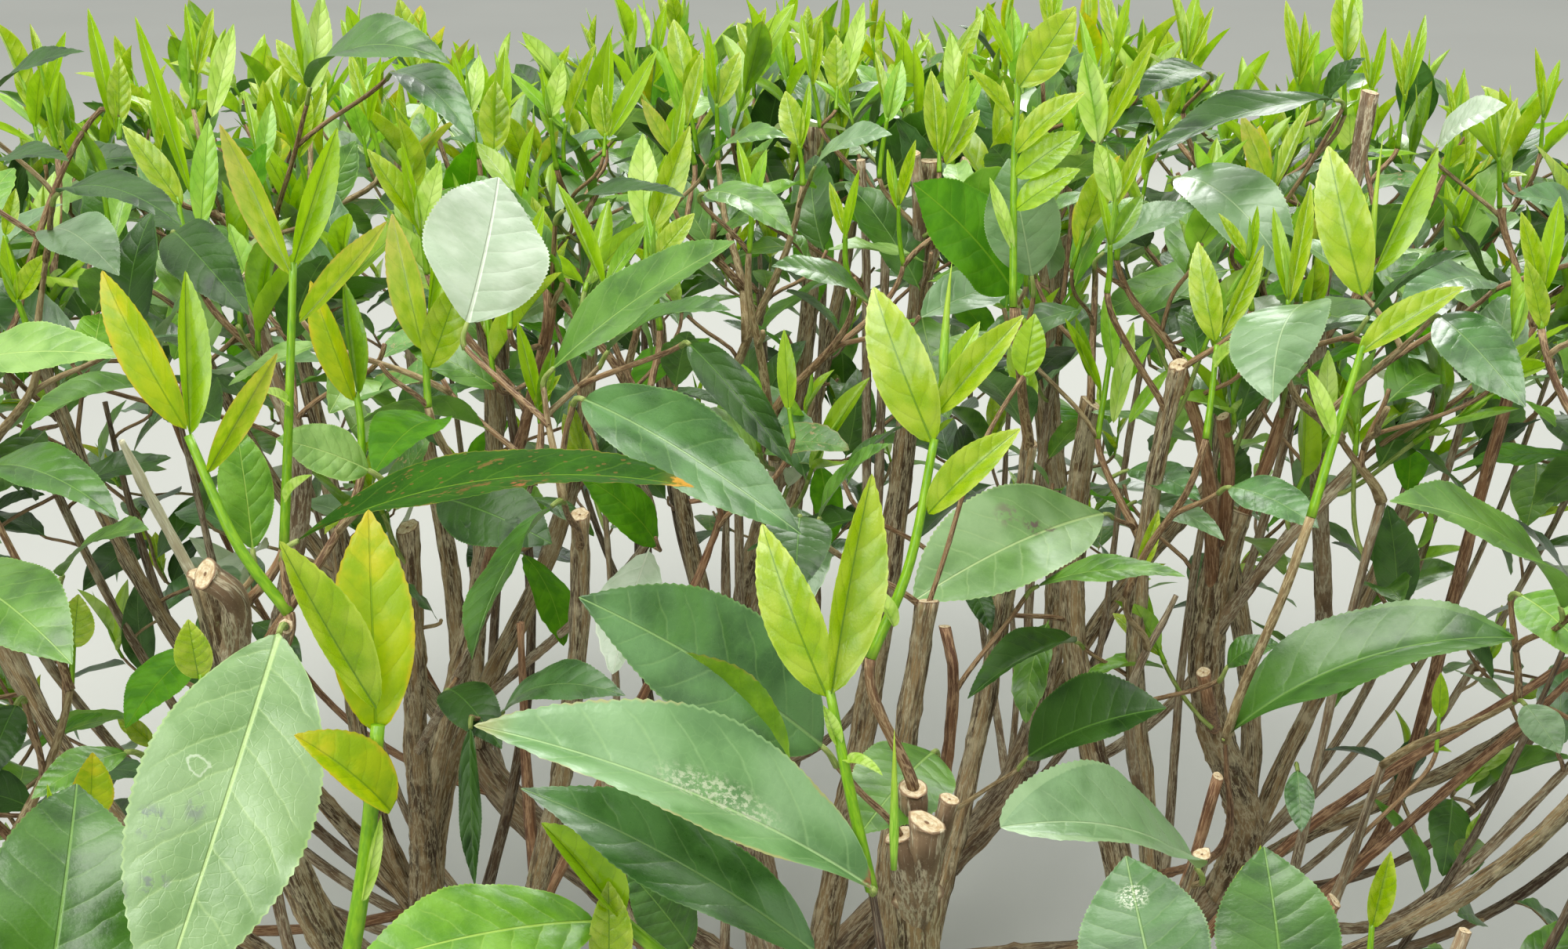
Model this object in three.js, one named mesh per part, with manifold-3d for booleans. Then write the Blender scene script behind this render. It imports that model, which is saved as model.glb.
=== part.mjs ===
// A plucked tea bush: one low trunk on a flared foot, eight spreading boughs, upright
// pruned stems on the boughs, and a flat-topped open crown made of many uneven masses.
// Millimetres, +Z up, origin on the flat cut at the ground under the trunk.
import * as THREE from "three";
import { mergeVertices } from "three/addons/utils/BufferGeometryUtils.js";
import Module from "manifold-3d";

const wasm = await Module();
wasm.setup();

// ---- driving sizes -----------------------------------------------------------------
const GAP = 0.35; // air left between pieces that touch
const TRUNK_HEIGHT = 84; // ground to the knuckle where the boughs fork
const TRUNK_RADIUS = 43; // just over the flare
const FLARE = 1.62; // foot radius over trunk radius
const FLARE_FALL = 17; // height over which the flare dies away
const FLARE_LOBES = 5;
const TRUNK_LEAN = [6, -3]; // how far the top stands off the foot
const BOUGH_SIDES = 8;
const STEM_SIDES = 6;
const STEM_HOLD = 0.5; // share of a stem's length that its upright top steers
const CROWN_HALF_X = 655;
const CROWN_HALF_Y = 615;
const CROWN_TOP = 716; // tips of the ordinary shoots
const CROWN_DOME = 46; // how much lower the rim's shoots stand
const MASS_DETAIL = 2; // icosahedron subdivision of a leaf mass
const MASS_GAP = 5; // half the air between two masses
const MASS_UNEVEN = 0.2; // how far a mass's reach wanders from an even egg

// Boughs: from the trunk's shoulder to the fork where their stems stand.
// [name, end x, y, z, radius at the trunk, radius at the fork]
const BOUGHS = [
  ["bough_left", -246, -10, 150, 17.5, 13.5],
  ["bough_left_front", -182, -214, 160, 16, 12.5],
  ["bough_front", 40, -236, 156, 16, 12.5],
  ["bough_right_front", 200, -172, 164, 15, 12],
  ["bough_right", 306, 12, 154, 18, 14.5],
  ["bough_right_back", 202, 218, 162, 15.5, 12],
  ["bough_back", -42, 256, 166, 16, 12.5],
  ["bough_left_back", -246, 186, 162, 15.5, 12],
];

// Stems: [name, bough, top x, y, z, radius at foot, radius at top, side sway]
const STEMS = [
  ["stem_left_1", "bough_left", -203, -131, 478, 9.6, 5.6, 5],
  ["stem_left_2", "bough_left", -176, -14, 572, 8.6, 4.8, -5],
  ["stem_left_3", "bough_left", -118, 22, 604, 8.2, 4.4, 6],
  ["stem_left_4", "bough_left", -402, -96, 566, 6.8, 3.8, -7],
  ["stem_left_5", "bough_left", -300, 12, 590, 7.2, 4.0, 6],
  ["stem_left_front_1", "bough_left_front", -204, -438, 595, 9.2, 6.0, 4],
  ["stem_left_front_2", "bough_left_front", -352, -322, 560, 6.8, 3.8, -6],
  ["stem_left_front_3", "bough_left_front", -86, -318, 566, 7.0, 4.2, 6],
  ["stem_front_1", "bough_front", 47, -471, 520, 11, 8.6, -5],
  ["stem_front_2", "bough_front", 61, -325, 529, 8.2, 5.0, 5],
  ["stem_front_3", "bough_front", 117, -217, 560, 7.4, 4.2, -3],
  ["stem_front_4", "bough_front", -62, -452, 548, 7.0, 4.2, 6],
  ["stem_right_front_1", "bough_right_front", 190, -196, 592, 7.4, 4.2, 4],
  ["stem_right_front_2", "bough_right_front", 380, -350, 545, 5.8, 3.6, -6],
  ["stem_right_front_3", "bough_right_front", 152, -458, 492, 5.6, 3.2, 5],
  ["stem_right_1", "bough_right", 243, -134, 500, 12.2, 9.0, 4],
  ["stem_right_2", "bough_right_front", 166, -106, 540, 9.6, 6.4, -4],
  ["stem_right_3", "bough_right", 470, -170, 520, 5.8, 3.4, -8],
  ["stem_right_4", "bough_right", 420, 40, 580, 6.8, 3.8, 6],
  ["stem_right_5", "bough_right", 300, 92, 606, 7.8, 4.2, -5],
  ["stem_right_back_1", "bough_right_back", 196, 208, 640, 8.6, 4.6, 5],
  ["stem_right_back_2", "bough_right_back", 236, 400, 590, 8.4, 4.4, -6],
  ["stem_right_back_3", "bough_right_back", 404, 262, 580, 7.2, 4.0, 6],
  ["stem_back_1", "bough_back", 18, 150, 640, 9.2, 5.6, -4],
  ["stem_back_2", "bough_back", -128, 424, 588, 8.6, 4.4, 6],
  ["stem_back_3", "bough_back", 66, 446, 584, 8.4, 4.4, -6],
  ["stem_left_back_1", "bough_left_back", -196, 176, 640, 8.8, 4.6, 5],
  ["stem_left_back_2", "bough_left_back", -300, 352, 584, 8.4, 4.4, -6],
  ["stem_left_back_3", "bough_left_back", -436, 190, 574, 7.2, 4.0, 6],
  ["stem_middle", "trunk", 84, -2, 650, 10.5, 6.4, -6],
];

// Leaf masses: rings of them over the crown and a skirt under its rim.
// [name prefix, count, ring radius as a share of the crown's, first angle,
//  half width, half height, height of centre, height drift]
const RINGS = [
  ["foliage_core", 1, 0.0, 0, 160, 160, 566, 0],
  ["foliage_inner", 5, 0.45, 20, 170, 152, 556, 16],
  ["foliage_outer", 9, 0.79, 8, 166, 148, 530, 22],
  ["foliage_skirt", 5, 0.72, 46, 138, 84, 348, 26],
];
const SPIRES = [1, 3]; // inner masses whose tallest shoots stand above the rest
const SPIRE_RISE = 62;

// ---- small maths -------------------------------------------------------------------
const V = (x, y, z) => new THREE.Vector3(x, y, z);
const wave = (a, b) => Math.sin(a * 12.9898 + b * 78.233) * 43758.5453;
const chance = (a, b) => wave(a, b) - Math.floor(wave(a, b)); // repeatable 0..1

// Smooth lumps on a direction, about -1..1.
function lumps(d, seed) {
  let s = 0;
  for (let k = 1; k <= 3; k++) {
    const f = 1.7 + 1.5 * k;
    const a = 6.283 * chance(seed, k);
    const b = 6.283 * chance(seed + 3, k);
    const c = 6.283 * chance(seed + 7, k);
    s +=
      (Math.sin(f * d.x + a) + Math.sin(f * d.y + b) + Math.sin(f * d.z + c)) /
      (2.2 + k);
  }
  return s / 1.6;
}

// ---- limbs -------------------------------------------------------------------------
// Control points of a limb's centreline: it leaves its parent along `out`, and
// reaches its end along `rise`, which holds for a longer stretch as `hold` grows.
function limbCurve(start, end, out, rise, sway, hold = 0.36) {
  const span = end.clone().sub(start);
  const length = span.length();
  const side = V(-span.y, span.x, 0);
  if (side.length() < 1) side.set(1, 0, 0);
  side.normalize();
  const p1 = start.clone().addScaledVector(out, length * 0.34);
  const p2 = end.clone().addScaledVector(rise, -length * hold);
  const bezier = new THREE.CubicBezierCurve3(start, p1, p2, end);
  const points = [];
  for (let i = 0; i <= 10; i++) {
    const t = i / 10;
    const p = bezier.getPoint(t);
    p.addScaledVector(side, sway * Math.sin(Math.PI * 2.0 * t) * 1.3);
    points.push(p);
  }
  return new THREE.CatmullRomCurve3(points, false, "centripetal");
}

// A tapering closed limb: a capped cylinder whose rings are set along the curve.
function limbGeometry(curve, r0, r1, extra, swell, sides) {
  const steps = Math.max(5, Math.round(curve.getLength() / 62));
  const g = new THREE.CylinderGeometry(1, 1, 1, sides, steps);
  const frames = curve.computeFrenetFrames(steps, false);
  const pos = g.attributes.position;
  for (let i = 0; i < pos.count; i++) {
    const t = pos.getY(i) + 0.5;
    const k = Math.round(t * steps);
    const c = curve.getPointAt(k / steps);
    const r = (r0 + (r1 - r0) * t) * (1 + swell * Math.exp(-t / 0.06)) + extra;
    const x = pos.getX(i) * r;
    const z = pos.getZ(i) * r;
    c.addScaledVector(frames.normals[k], x).addScaledVector(
      frames.binormals[k],
      -z,
    );
    pos.setXYZ(i, c.x, c.y, c.z);
  }
  return g;
}

// ---- trunk -------------------------------------------------------------------------
// The stool: a lobed flare at the ground, a waist, and a lumpy knuckle at the fork.
function trunkGeometry(extra) {
  const h = TRUNK_HEIGHT;
  const profile = [
    [0.0001, 0],
    [TRUNK_RADIUS * FLARE, 0],
    [TRUNK_RADIUS * 1.36, h * 0.09],
    [TRUNK_RADIUS * 1.12, h * 0.24],
    [TRUNK_RADIUS * 1.0, h * 0.42],
    [TRUNK_RADIUS * 1.03, h * 0.62],
    [TRUNK_RADIUS * 1.08, h * 0.78],
    [TRUNK_RADIUS * 0.92, h * 0.92],
    [TRUNK_RADIUS * 0.56, h * 1.0],
    [0.0001, h * 1.03],
  ].map(([r, z]) => new THREE.Vector2(r, z));
  const g = new THREE.LatheGeometry(profile, 24);
  const pos = g.attributes.position;
  for (let i = 0; i < pos.count; i++) {
    const x = pos.getX(i);
    const z = pos.getY(i);
    const y = -pos.getZ(i);
    const a = Math.atan2(y, x);
    const low = Math.exp(-z / FLARE_FALL);
    const lobe = 1 + (0.05 + 0.13 * low) * Math.sin(FLARE_LOBES * a + 0.6);
    const lump = 1 + 0.035 * Math.sin(3 * a + z * 0.06);
    const r = Math.hypot(x, y);
    const k = r > 0.01 ? lobe * lump * (1 + extra / r) : 1;
    const t = z / h;
    pos.setXYZ(
      i,
      x * k + TRUNK_LEAN[0] * t,
      y * k + TRUNK_LEAN[1] * t,
      z > 0.5 * h ? z + extra : z,
    );
  }
  return g;
}

// ---- solids ------------------------------------------------------------------------
function toSolid(geometry) {
  const g = geometry.index ? geometry.toNonIndexed() : geometry.clone();
  g.deleteAttribute("normal");
  g.deleteAttribute("uv");
  const m = mergeVertices(g, 1e-3);
  const solid = new wasm.Manifold(
    new wasm.Mesh({
      numProp: 3,
      vertProperties: new Float32Array(m.attributes.position.array),
      triVerts: new Uint32Array(m.index.array),
    }),
  );
  return solid;
}

function toGeometry(solid) {
  const mesh = solid.getMesh();
  const g = new THREE.BufferGeometry();
  const n = mesh.numProp;
  const p = new Float32Array(mesh.numVert * 3);
  for (let i = 0; i < mesh.numVert; i++)
    p.set(mesh.vertProperties.subarray(i * n, i * n + 3), i * 3);
  g.setAttribute("position", new THREE.BufferAttribute(p, 3));
  g.setIndex(new THREE.BufferAttribute(new Uint32Array(mesh.triVerts), 1));
  g.computeVertexNormals();
  return g;
}

function near(a, b) {
  const p = a.boundingBox();
  const q = b.boundingBox();
  return [0, 1, 2].every((i) => p.min[i] < q.max[i] && q.min[i] < p.max[i]);
}

// What is left of a limb once the others are cut out of it: the stretch nearest its foot.
function cutLimb(solid, others, foot) {
  let s = solid;
  for (const o of others) if (near(s, o)) s = s.subtract(o);
  const bits = s.decompose().filter((b) => b.volume() > 200);
  const away = (b) => {
    const q = b.boundingBox();
    return [0, 1, 2].reduce(
      (d, i) =>
        d + Math.max(q.min[i] - foot[i], 0, foot[i] - q.max[i]) ** 2,
      0,
    );
  };
  bits.sort((a, b) => away(a) - away(b) || b.volume() - a.volume());
  return bits[0];
}

// ---- leaf masses -------------------------------------------------------------------
const masses = [];
let seed = 5;
for (const [prefix, count, share, turn, wide, high, height, drift] of RINGS)
  for (let i = 0; i < count; i++) {
    seed += 1;
    const a = ((turn + (360 * i) / count) * Math.PI) / 180;
    const wander = share ? 0.05 * (chance(seed, 1) - 0.5) : 0;
    // a squarish plan: the corners of the table reach further than its sides
    const square = 1 / (Math.abs(Math.cos(a)) ** 3 + Math.abs(Math.sin(a)) ** 3) ** (1 / 3);
    const spire = prefix === "foliage_inner" && SPIRES.includes(i);
    masses.push({
      name: count > 1 ? prefix + "_" + (i + 1) : prefix,
      seed,
      centre: V(
        CROWN_HALF_X * (share + wander) * square * Math.cos(a) * 0.99,
        CROWN_HALF_Y * (share + wander) * square * Math.sin(a) * 0.99,
        height + drift * (2 * chance(seed, 2) - 1),
      ),
      half: V(
        wide * (0.86 + 0.3 * chance(seed, 3)),
        wide * (0.86 + 0.3 * chance(seed, 4)),
        high * (0.92 + 0.16 * chance(seed, 5)) * (spire ? 1.3 : 1),
      ),
      spire,
    });
  }

// One uneven closed mass. Its reach in each direction stops half way to its neighbours,
// at the crown's own outline, and at the table where the shoots are plucked.
function massGeometry(mass, extra) {
  const g = new THREE.IcosahedronGeometry(1, MASS_DETAIL);
  const pos = g.attributes.position;
  for (let i = 0; i < pos.count; i++) {
    const d = V(pos.getX(i), pos.getY(i), pos.getZ(i)).normalize();
    const h = mass.half;
    const egg =
      1 / Math.sqrt((d.x / h.x) ** 2 + (d.y / h.y) ** 2 + (d.z / h.z) ** 2);
    let r = egg * (1.08 + MASS_UNEVEN * lumps(d, mass.seed));
    for (const other of masses) {
      if (other === mass) continue;
      const to = other.centre.clone().sub(mass.centre);
      const far = to.length();
      const toward = d.dot(to) / far;
      if (toward > 0.02) r = Math.min(r, (far / 2 - MASS_GAP) / toward);
    }
    const p = d.clone().multiplyScalar(r + extra).add(mass.centre);
    // the plucking table and the rim
    const rim = Math.min(
      1,
      Math.hypot(p.x / CROWN_HALF_X, p.y / CROWN_HALF_Y),
    );
    const spire = mass.spire
      ? SPIRE_RISE * Math.max(0, 1 - Math.hypot(d.x, d.y) / 0.55)
      : 0;
    const top =
      CROWN_TOP - CROWN_DOME * rim ** 3 + spire + 7 * lumps(d, mass.seed + 20);
    if (p.z > top + extra) p.z = top + extra;
    const inside = (v, lim) => Math.sign(v) * Math.min(Math.abs(v), lim);
    p.x = inside(p.x, CROWN_HALF_X + extra);
    p.y = inside(p.y, CROWN_HALF_Y + extra);
    pos.setXYZ(i, p.x, p.y, p.z);
  }
  return g;
}

// ---- the assembly ------------------------------------------------------------------
const bark = (c) =>
  new THREE.MeshStandardMaterial({ color: c, roughness: 0.9, metalness: 0 });
const TRUNK_COLOUR = 0x74664c;
const BOUGH_COLOUR = 0x7a6a50;
const STEM_COLOUR = 0x86704f;
const LEAF_COLOURS = [0x5f9440, 0x6ca046, 0x558a3f, 0x7cae4a];

const bush = new THREE.Group();
function place(name, solid, material, origin) {
  const g = toGeometry(solid);
  g.translate(-origin.x, -origin.y, -origin.z);
  const mesh = new THREE.Mesh(g, material);
  mesh.name = name;
  mesh.position.copy(origin);
  bush.add(mesh);
  return mesh;
}

const massSolids = masses.map((m) => toSolid(massGeometry(m, 0)));
const massGuards = masses.map((m) => toSolid(massGeometry(m, 1.2)));

const trunk = toSolid(trunkGeometry(0));
place("trunk", trunk, bark(TRUNK_COLOUR), V(0, 0, 0));
const guards = [toSolid(trunkGeometry(GAP))];

const limbs = { trunk: { end: V(12, -4, TRUNK_HEIGHT - 14), rise: V(0.12, 0.05, 0.99) } };

for (const [name, x, y, z, r0, r1] of BOUGHS) {
  const flat = V(x, y, 0).normalize();
  const start = flat
    .clone()
    .multiplyScalar(TRUNK_RADIUS * 0.5)
    .add(V(TRUNK_LEAN[0] * 0.6, TRUNK_LEAN[1] * 0.6, TRUNK_HEIGHT * 0.62));
  const out = flat.clone().multiplyScalar(0.9).add(V(0, 0, 0.42)).normalize();
  const rise = flat.clone().multiplyScalar(0.5).add(V(0, 0, 0.86)).normalize();
  const end = V(x, y, z);
  const curve = limbCurve(start, end, out, rise, 3.5);
  const solid = cutLimb(
    toSolid(limbGeometry(curve, r0, r1, 0, 0.16, BOUGH_SIDES)),
    [...guards, ...massGuards],
    [start.x + flat.x * 30, start.y + flat.y * 30, start.z + 8],
  );
  place(name, solid, bark(BOUGH_COLOUR), end);
  guards.push(toSolid(limbGeometry(curve, r0, r1, GAP, 0.16, BOUGH_SIDES)));
  limbs[name] = { end, rise };
}

for (const [name, parent, x, y, z, r0, r1, sway] of STEMS) {
  const from = limbs[parent];
  const end = V(x, y, z);
  const start = from.end.clone().addScaledVector(from.rise, -6);
  const toward = end.clone().sub(start).normalize();
  const out = toward
    .clone()
    .multiplyScalar(0.75)
    .addScaledVector(from.rise, 0.35)
    .normalize();
  // stems of one bough start spread round its end
  const spread = V(toward.x, toward.y, 0).normalize().multiplyScalar(r0 * 0.75);
  start.add(spread);
  const rise = V(x * 0.0004, y * 0.0004, 1).normalize();
  const curve = limbCurve(start, end, out, rise, sway, STEM_HOLD);
  const solid = cutLimb(
    toSolid(limbGeometry(curve, r0, r1, 0, 0.12, STEM_SIDES)),
    [...guards, ...massGuards],
    [start.x + out.x * 16, start.y + out.y * 16, start.z + out.z * 16],
  );
  place(name, solid, bark(STEM_COLOUR), start);
  guards.push(toSolid(limbGeometry(curve, r0, r1, GAP, 0.12, STEM_SIDES)));
}

masses.forEach((m, i) => {
  place(
    m.name,
    massSolids[i],
    new THREE.MeshStandardMaterial({
      color: LEAF_COLOURS[i % LEAF_COLOURS.length],
      roughness: 0.6,
      metalness: 0,
    }),
    m.centre,
  );
});

export default bush;
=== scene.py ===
"""A pruned, many-stemmed tea bush in flush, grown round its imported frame.

Metres, +Z up, the flat cut of the trunk at z = 0.  Every random choice comes from
one seeded generator, so the bush grows the same way each time.
"""
import math

import bpy
import numpy as np
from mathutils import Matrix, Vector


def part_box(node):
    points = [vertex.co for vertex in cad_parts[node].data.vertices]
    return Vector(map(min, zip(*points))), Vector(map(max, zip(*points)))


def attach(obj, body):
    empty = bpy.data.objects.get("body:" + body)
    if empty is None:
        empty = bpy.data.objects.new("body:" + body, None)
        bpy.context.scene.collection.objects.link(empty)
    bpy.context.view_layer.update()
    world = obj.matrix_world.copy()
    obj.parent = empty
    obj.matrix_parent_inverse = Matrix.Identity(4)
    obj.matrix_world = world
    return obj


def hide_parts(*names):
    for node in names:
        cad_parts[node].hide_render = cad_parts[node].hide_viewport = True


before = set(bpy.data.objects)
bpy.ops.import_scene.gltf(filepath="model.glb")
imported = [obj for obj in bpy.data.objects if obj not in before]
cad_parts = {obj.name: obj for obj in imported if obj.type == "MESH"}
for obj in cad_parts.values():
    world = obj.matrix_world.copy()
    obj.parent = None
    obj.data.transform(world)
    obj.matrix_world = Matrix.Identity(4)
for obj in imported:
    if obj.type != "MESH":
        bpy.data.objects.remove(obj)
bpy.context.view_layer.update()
RNG = np.random.default_rng(20715)

# ------------------------------------------------------------------ camera
EYE = np.array((0.0, -1.0, 0.86))
PITCH = math.radians(22.0)
FOCAL = 2246.0                      # in pixels of a frame 2000 wide, 1211 high
RIGHT = np.array((1.0, 0.0, 0.0))
AHEAD = np.array((0.0, math.cos(PITCH), -math.sin(PITCH)))
ABOVE = np.array((0.0, math.sin(PITCH), math.cos(PITCH)))

cam_data = bpy.data.cameras.new("camera")
cam_data.sensor_fit = "HORIZONTAL"
cam_data.sensor_width = 36.0
cam_data.lens = FOCAL / 2000.0 * 36.0
cam_data.clip_start, cam_data.clip_end = 0.02, 100.0
camera = bpy.data.objects.new("camera", cam_data)
camera.location = EYE
camera.rotation_euler = (math.radians(90.0) - PITCH, 0.0, 0.0)
bpy.context.scene.collection.objects.link(camera)
bpy.context.scene.camera = camera


def at(px, py, depth):
    """The point that far ahead of the eye, seen at that pixel of the frame."""
    return EYE + depth * (
        AHEAD + (px - 1000.0) / FOCAL * RIGHT - (py - 605.5) / FOCAL * ABOVE
    )


def seen(points):
    """Pixel x, pixel y and depth of points, for a frame 2000 wide."""
    q = np.asarray(points) - EYE
    depth = q @ AHEAD
    safe = np.where(np.abs(depth) < 1e-6, 1e-6, depth)
    return 1000.0 + FOCAL * (q @ RIGHT) / safe, 605.5 - FOCAL * (q @ ABOVE) / safe, depth


# ------------------------------------------------------------------ small sums
def unit(v):
    v = np.asarray(v, float)
    return v / np.maximum(np.linalg.norm(v, axis=-1, keepdims=True), 1e-9)


def smooth(a, lo, hi):
    t = np.clip((a - lo) / (hi - lo), 0.0, 1.0)
    return t * t * (3.0 - 2.0 * t)


def noise3(p, seed=0):
    """Smooth value noise on a hashed lattice, from -1 to 1."""
    p = np.asarray(p, float)
    i = np.floor(p).astype(np.int64)
    f = p - i
    f = f * f * (3.0 - 2.0 * f)

    def corner(dx, dy, dz):
        n = (i[..., 0] + dx) * 73856093 ^ (i[..., 1] + dy) * 19349663 ^ (i[..., 2] + dz) * 83492791
        n = (n + seed * 7919) & 0x7FFFFFFF
        n = (n ^ (n >> 13)) * 1274126177 & 0x7FFFFFFF
        n = (n ^ (n >> 16)) * 668265263 & 0x7FFFFFFF
        return (n & 0xFFFF) / 32767.5 - 1.0

    x, y, z = f[..., 0], f[..., 1], f[..., 2]
    c00 = corner(0, 0, 0) * (1 - x) + corner(1, 0, 0) * x
    c10 = corner(0, 1, 0) * (1 - x) + corner(1, 1, 0) * x
    c01 = corner(0, 0, 1) * (1 - x) + corner(1, 0, 1) * x
    c11 = corner(0, 1, 1) * (1 - x) + corner(1, 1, 1) * x
    return (c00 * (1 - y) + c10 * y) * (1 - z) + (c01 * (1 - y) + c11 * y) * z


def turned(v, axis, angle):
    """v turned about a unit axis; all may be arrays of the same length."""
    angle = np.asarray(angle, float)[..., None]
    return (
        v * np.cos(angle)
        + np.cross(axis, v) * np.sin(angle)
        + axis * np.sum(axis * v, axis=-1, keepdims=True) * (1 - np.cos(angle))
    )


def square_to(n, t):
    """n made square to the unit direction t."""
    n = n - t * np.sum(n * t, axis=-1, keepdims=True)
    return unit(n)


# ------------------------------------------------------------------ pieces
class Piece:
    """One joined piece: vertices, faces, slots and up to three UV layers, gathered as arrays."""

    def __init__(self, name, slot, materials, nodes, layers):
        self.name, self.slot, self.materials, self.nodes = name, slot, materials, nodes
        self.layers = layers
        self.verts, self.loops, self.sizes, self.slots = [], [], [], []
        self.uvs = {k: [] for k in layers}
        self.count = 0

    def add(self, verts, faces, slot, **uvs):
        """verts (n,3); faces a list of (k, sides) index arrays; slot one number or one per face; uvs per loop."""
        self.verts.append(verts.reshape(-1, 3))
        total = 0
        for f in faces:
            self.loops.append((f + self.count).ravel())
            self.sizes.append(np.full(len(f), f.shape[1], np.int32))
            total += len(f)
        self.slots.append(np.broadcast_to(np.asarray(slot, np.int32), (total,)))
        for k in self.layers:
            self.uvs[k].append(uvs[k].reshape(-1, 2))
        self.count += len(self.verts[-1])

    def triangles(self):
        return int(sum((s - 2).sum() for s in self.sizes)) if self.sizes else 0

    def build(self):
        if not self.verts:
            return None
        verts = np.concatenate(self.verts).astype(np.float32)
        loops = np.concatenate(self.loops).astype(np.int32)
        sizes = np.concatenate(self.sizes)
        slots = np.concatenate(self.slots).astype(np.int32)
        mesh = bpy.data.meshes.new(self.name)
        mesh.vertices.add(len(verts))
        mesh.vertices.foreach_set("co", verts.ravel())
        mesh.loops.add(len(loops))
        mesh.loops.foreach_set("vertex_index", loops)
        mesh.polygons.add(len(sizes))
        mesh.polygons.foreach_set("loop_start", np.concatenate(([0], np.cumsum(sizes)[:-1])).astype(np.int32))
        mesh.polygons.foreach_set("use_smooth", np.ones(len(sizes), bool))
        used = sorted(set(slots.tolist()))
        for k in used:
            mesh.materials.append(self.materials[k])
        lookup = np.zeros(max(used) + 1, np.int32)
        lookup[used] = np.arange(len(used))
        mesh.polygons.foreach_set("material_index", lookup[slots])
        for k in self.layers:
            layer = mesh.uv_layers.new(name=k)
            layer.data.foreach_set("uv", np.concatenate(self.uvs[k]).astype(np.float32).ravel())
        mesh.update(calc_edges=True)
        mesh.validate(clean_customdata=False)
        obj = bpy.data.objects.new(self.name, mesh)
        bpy.context.scene.collection.objects.link(obj)
        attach(obj, "root")
        if self.nodes:
            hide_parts(*self.nodes)
        return obj


def cell(k, across, down, pad=0.03):
    """Left, bottom, width and height of one cell of an atlas."""
    col, row = k % across, k // across
    w, h = 1.0 / across, 1.0 / down
    return np.array((col * w + pad * w, row * h + pad * h, w * (1 - 2 * pad), h * (1 - 2 * pad)))


# ------------------------------------------------------------------ tubes
def frames_along(path):
    """Unit tangents and two directions square to them, carried along each path (n, k, 3)."""
    tan = np.empty_like(path)
    tan[:, 1:-1] = path[:, 2:] - path[:, :-2]
    tan[:, 0] = path[:, 1] - path[:, 0]
    tan[:, -1] = path[:, -1] - path[:, -2]
    tan = unit(tan)
    side = np.empty_like(path)
    start = np.where(np.abs(tan[:, 0, 0:1]) < 0.8, np.array((1.0, 0, 0)), np.array((0, 1.0, 0)))
    side[:, 0] = square_to(start, tan[:, 0])
    for i in range(1, path.shape[1]):
        side[:, i] = square_to(side[:, i - 1], tan[:, i])
    return tan, side, np.cross(tan, side)


def tube_rings(path, radius, sides, relief=None, tilt=None, level=False):
    """Rings (n, k, sides, 3) round each path. relief(angle, run, radius) gives a factor on the radius; tilt (n, 2) slopes the last ring."""
    tan, e1, e2 = frames_along(path)
    if level:
        e1, e2 = np.broadcast_to(RIGHT, path.shape), np.broadcast_to(np.array((0.0, 1.0, 0.0)), path.shape)
    ang = np.arange(sides) / sides * 2 * math.pi
    run = np.concatenate(
        (np.zeros((len(path), 1)), np.cumsum(np.linalg.norm(np.diff(path, axis=1), axis=2), axis=1)), axis=1
    )
    r = np.broadcast_to(radius[:, :, None], radius.shape + (sides,)).copy()
    if relief is not None:
        r = r * relief(ang[None, None, :], run[:, :, None], radius[:, :, None])
    ring = (
        path[:, :, None]
        + r[..., None] * (np.cos(ang)[None, None, :, None] * e1[:, :, None] + np.sin(ang)[None, None, :, None] * e2[:, :, None])
    )
    if tilt is not None:
        lift = (tilt[:, 0, None] * np.cos(ang[None, :] - tilt[:, 1, None])) * r[:, -1]
        ring[:, -1] += lift[..., None] * tan[:, -1, None, :]
    return ring, run, tan


def tube_faces(n, k, sides, tip=False, foot=False):
    """Quads of one tube of k rings, with the corner numbers round a ring and the next ones; n, tip and foot are not
    used.
    """
    j = np.arange(sides)
    jn = (j + 1) % sides
    i = np.arange(k - 1)[:, None]
    quad = np.stack((i * sides + j, i * sides + jn, (i + 1) * sides + jn, (i + 1) * sides + j), axis=-1).reshape(-1, 4)
    return quad, j, jn


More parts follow.
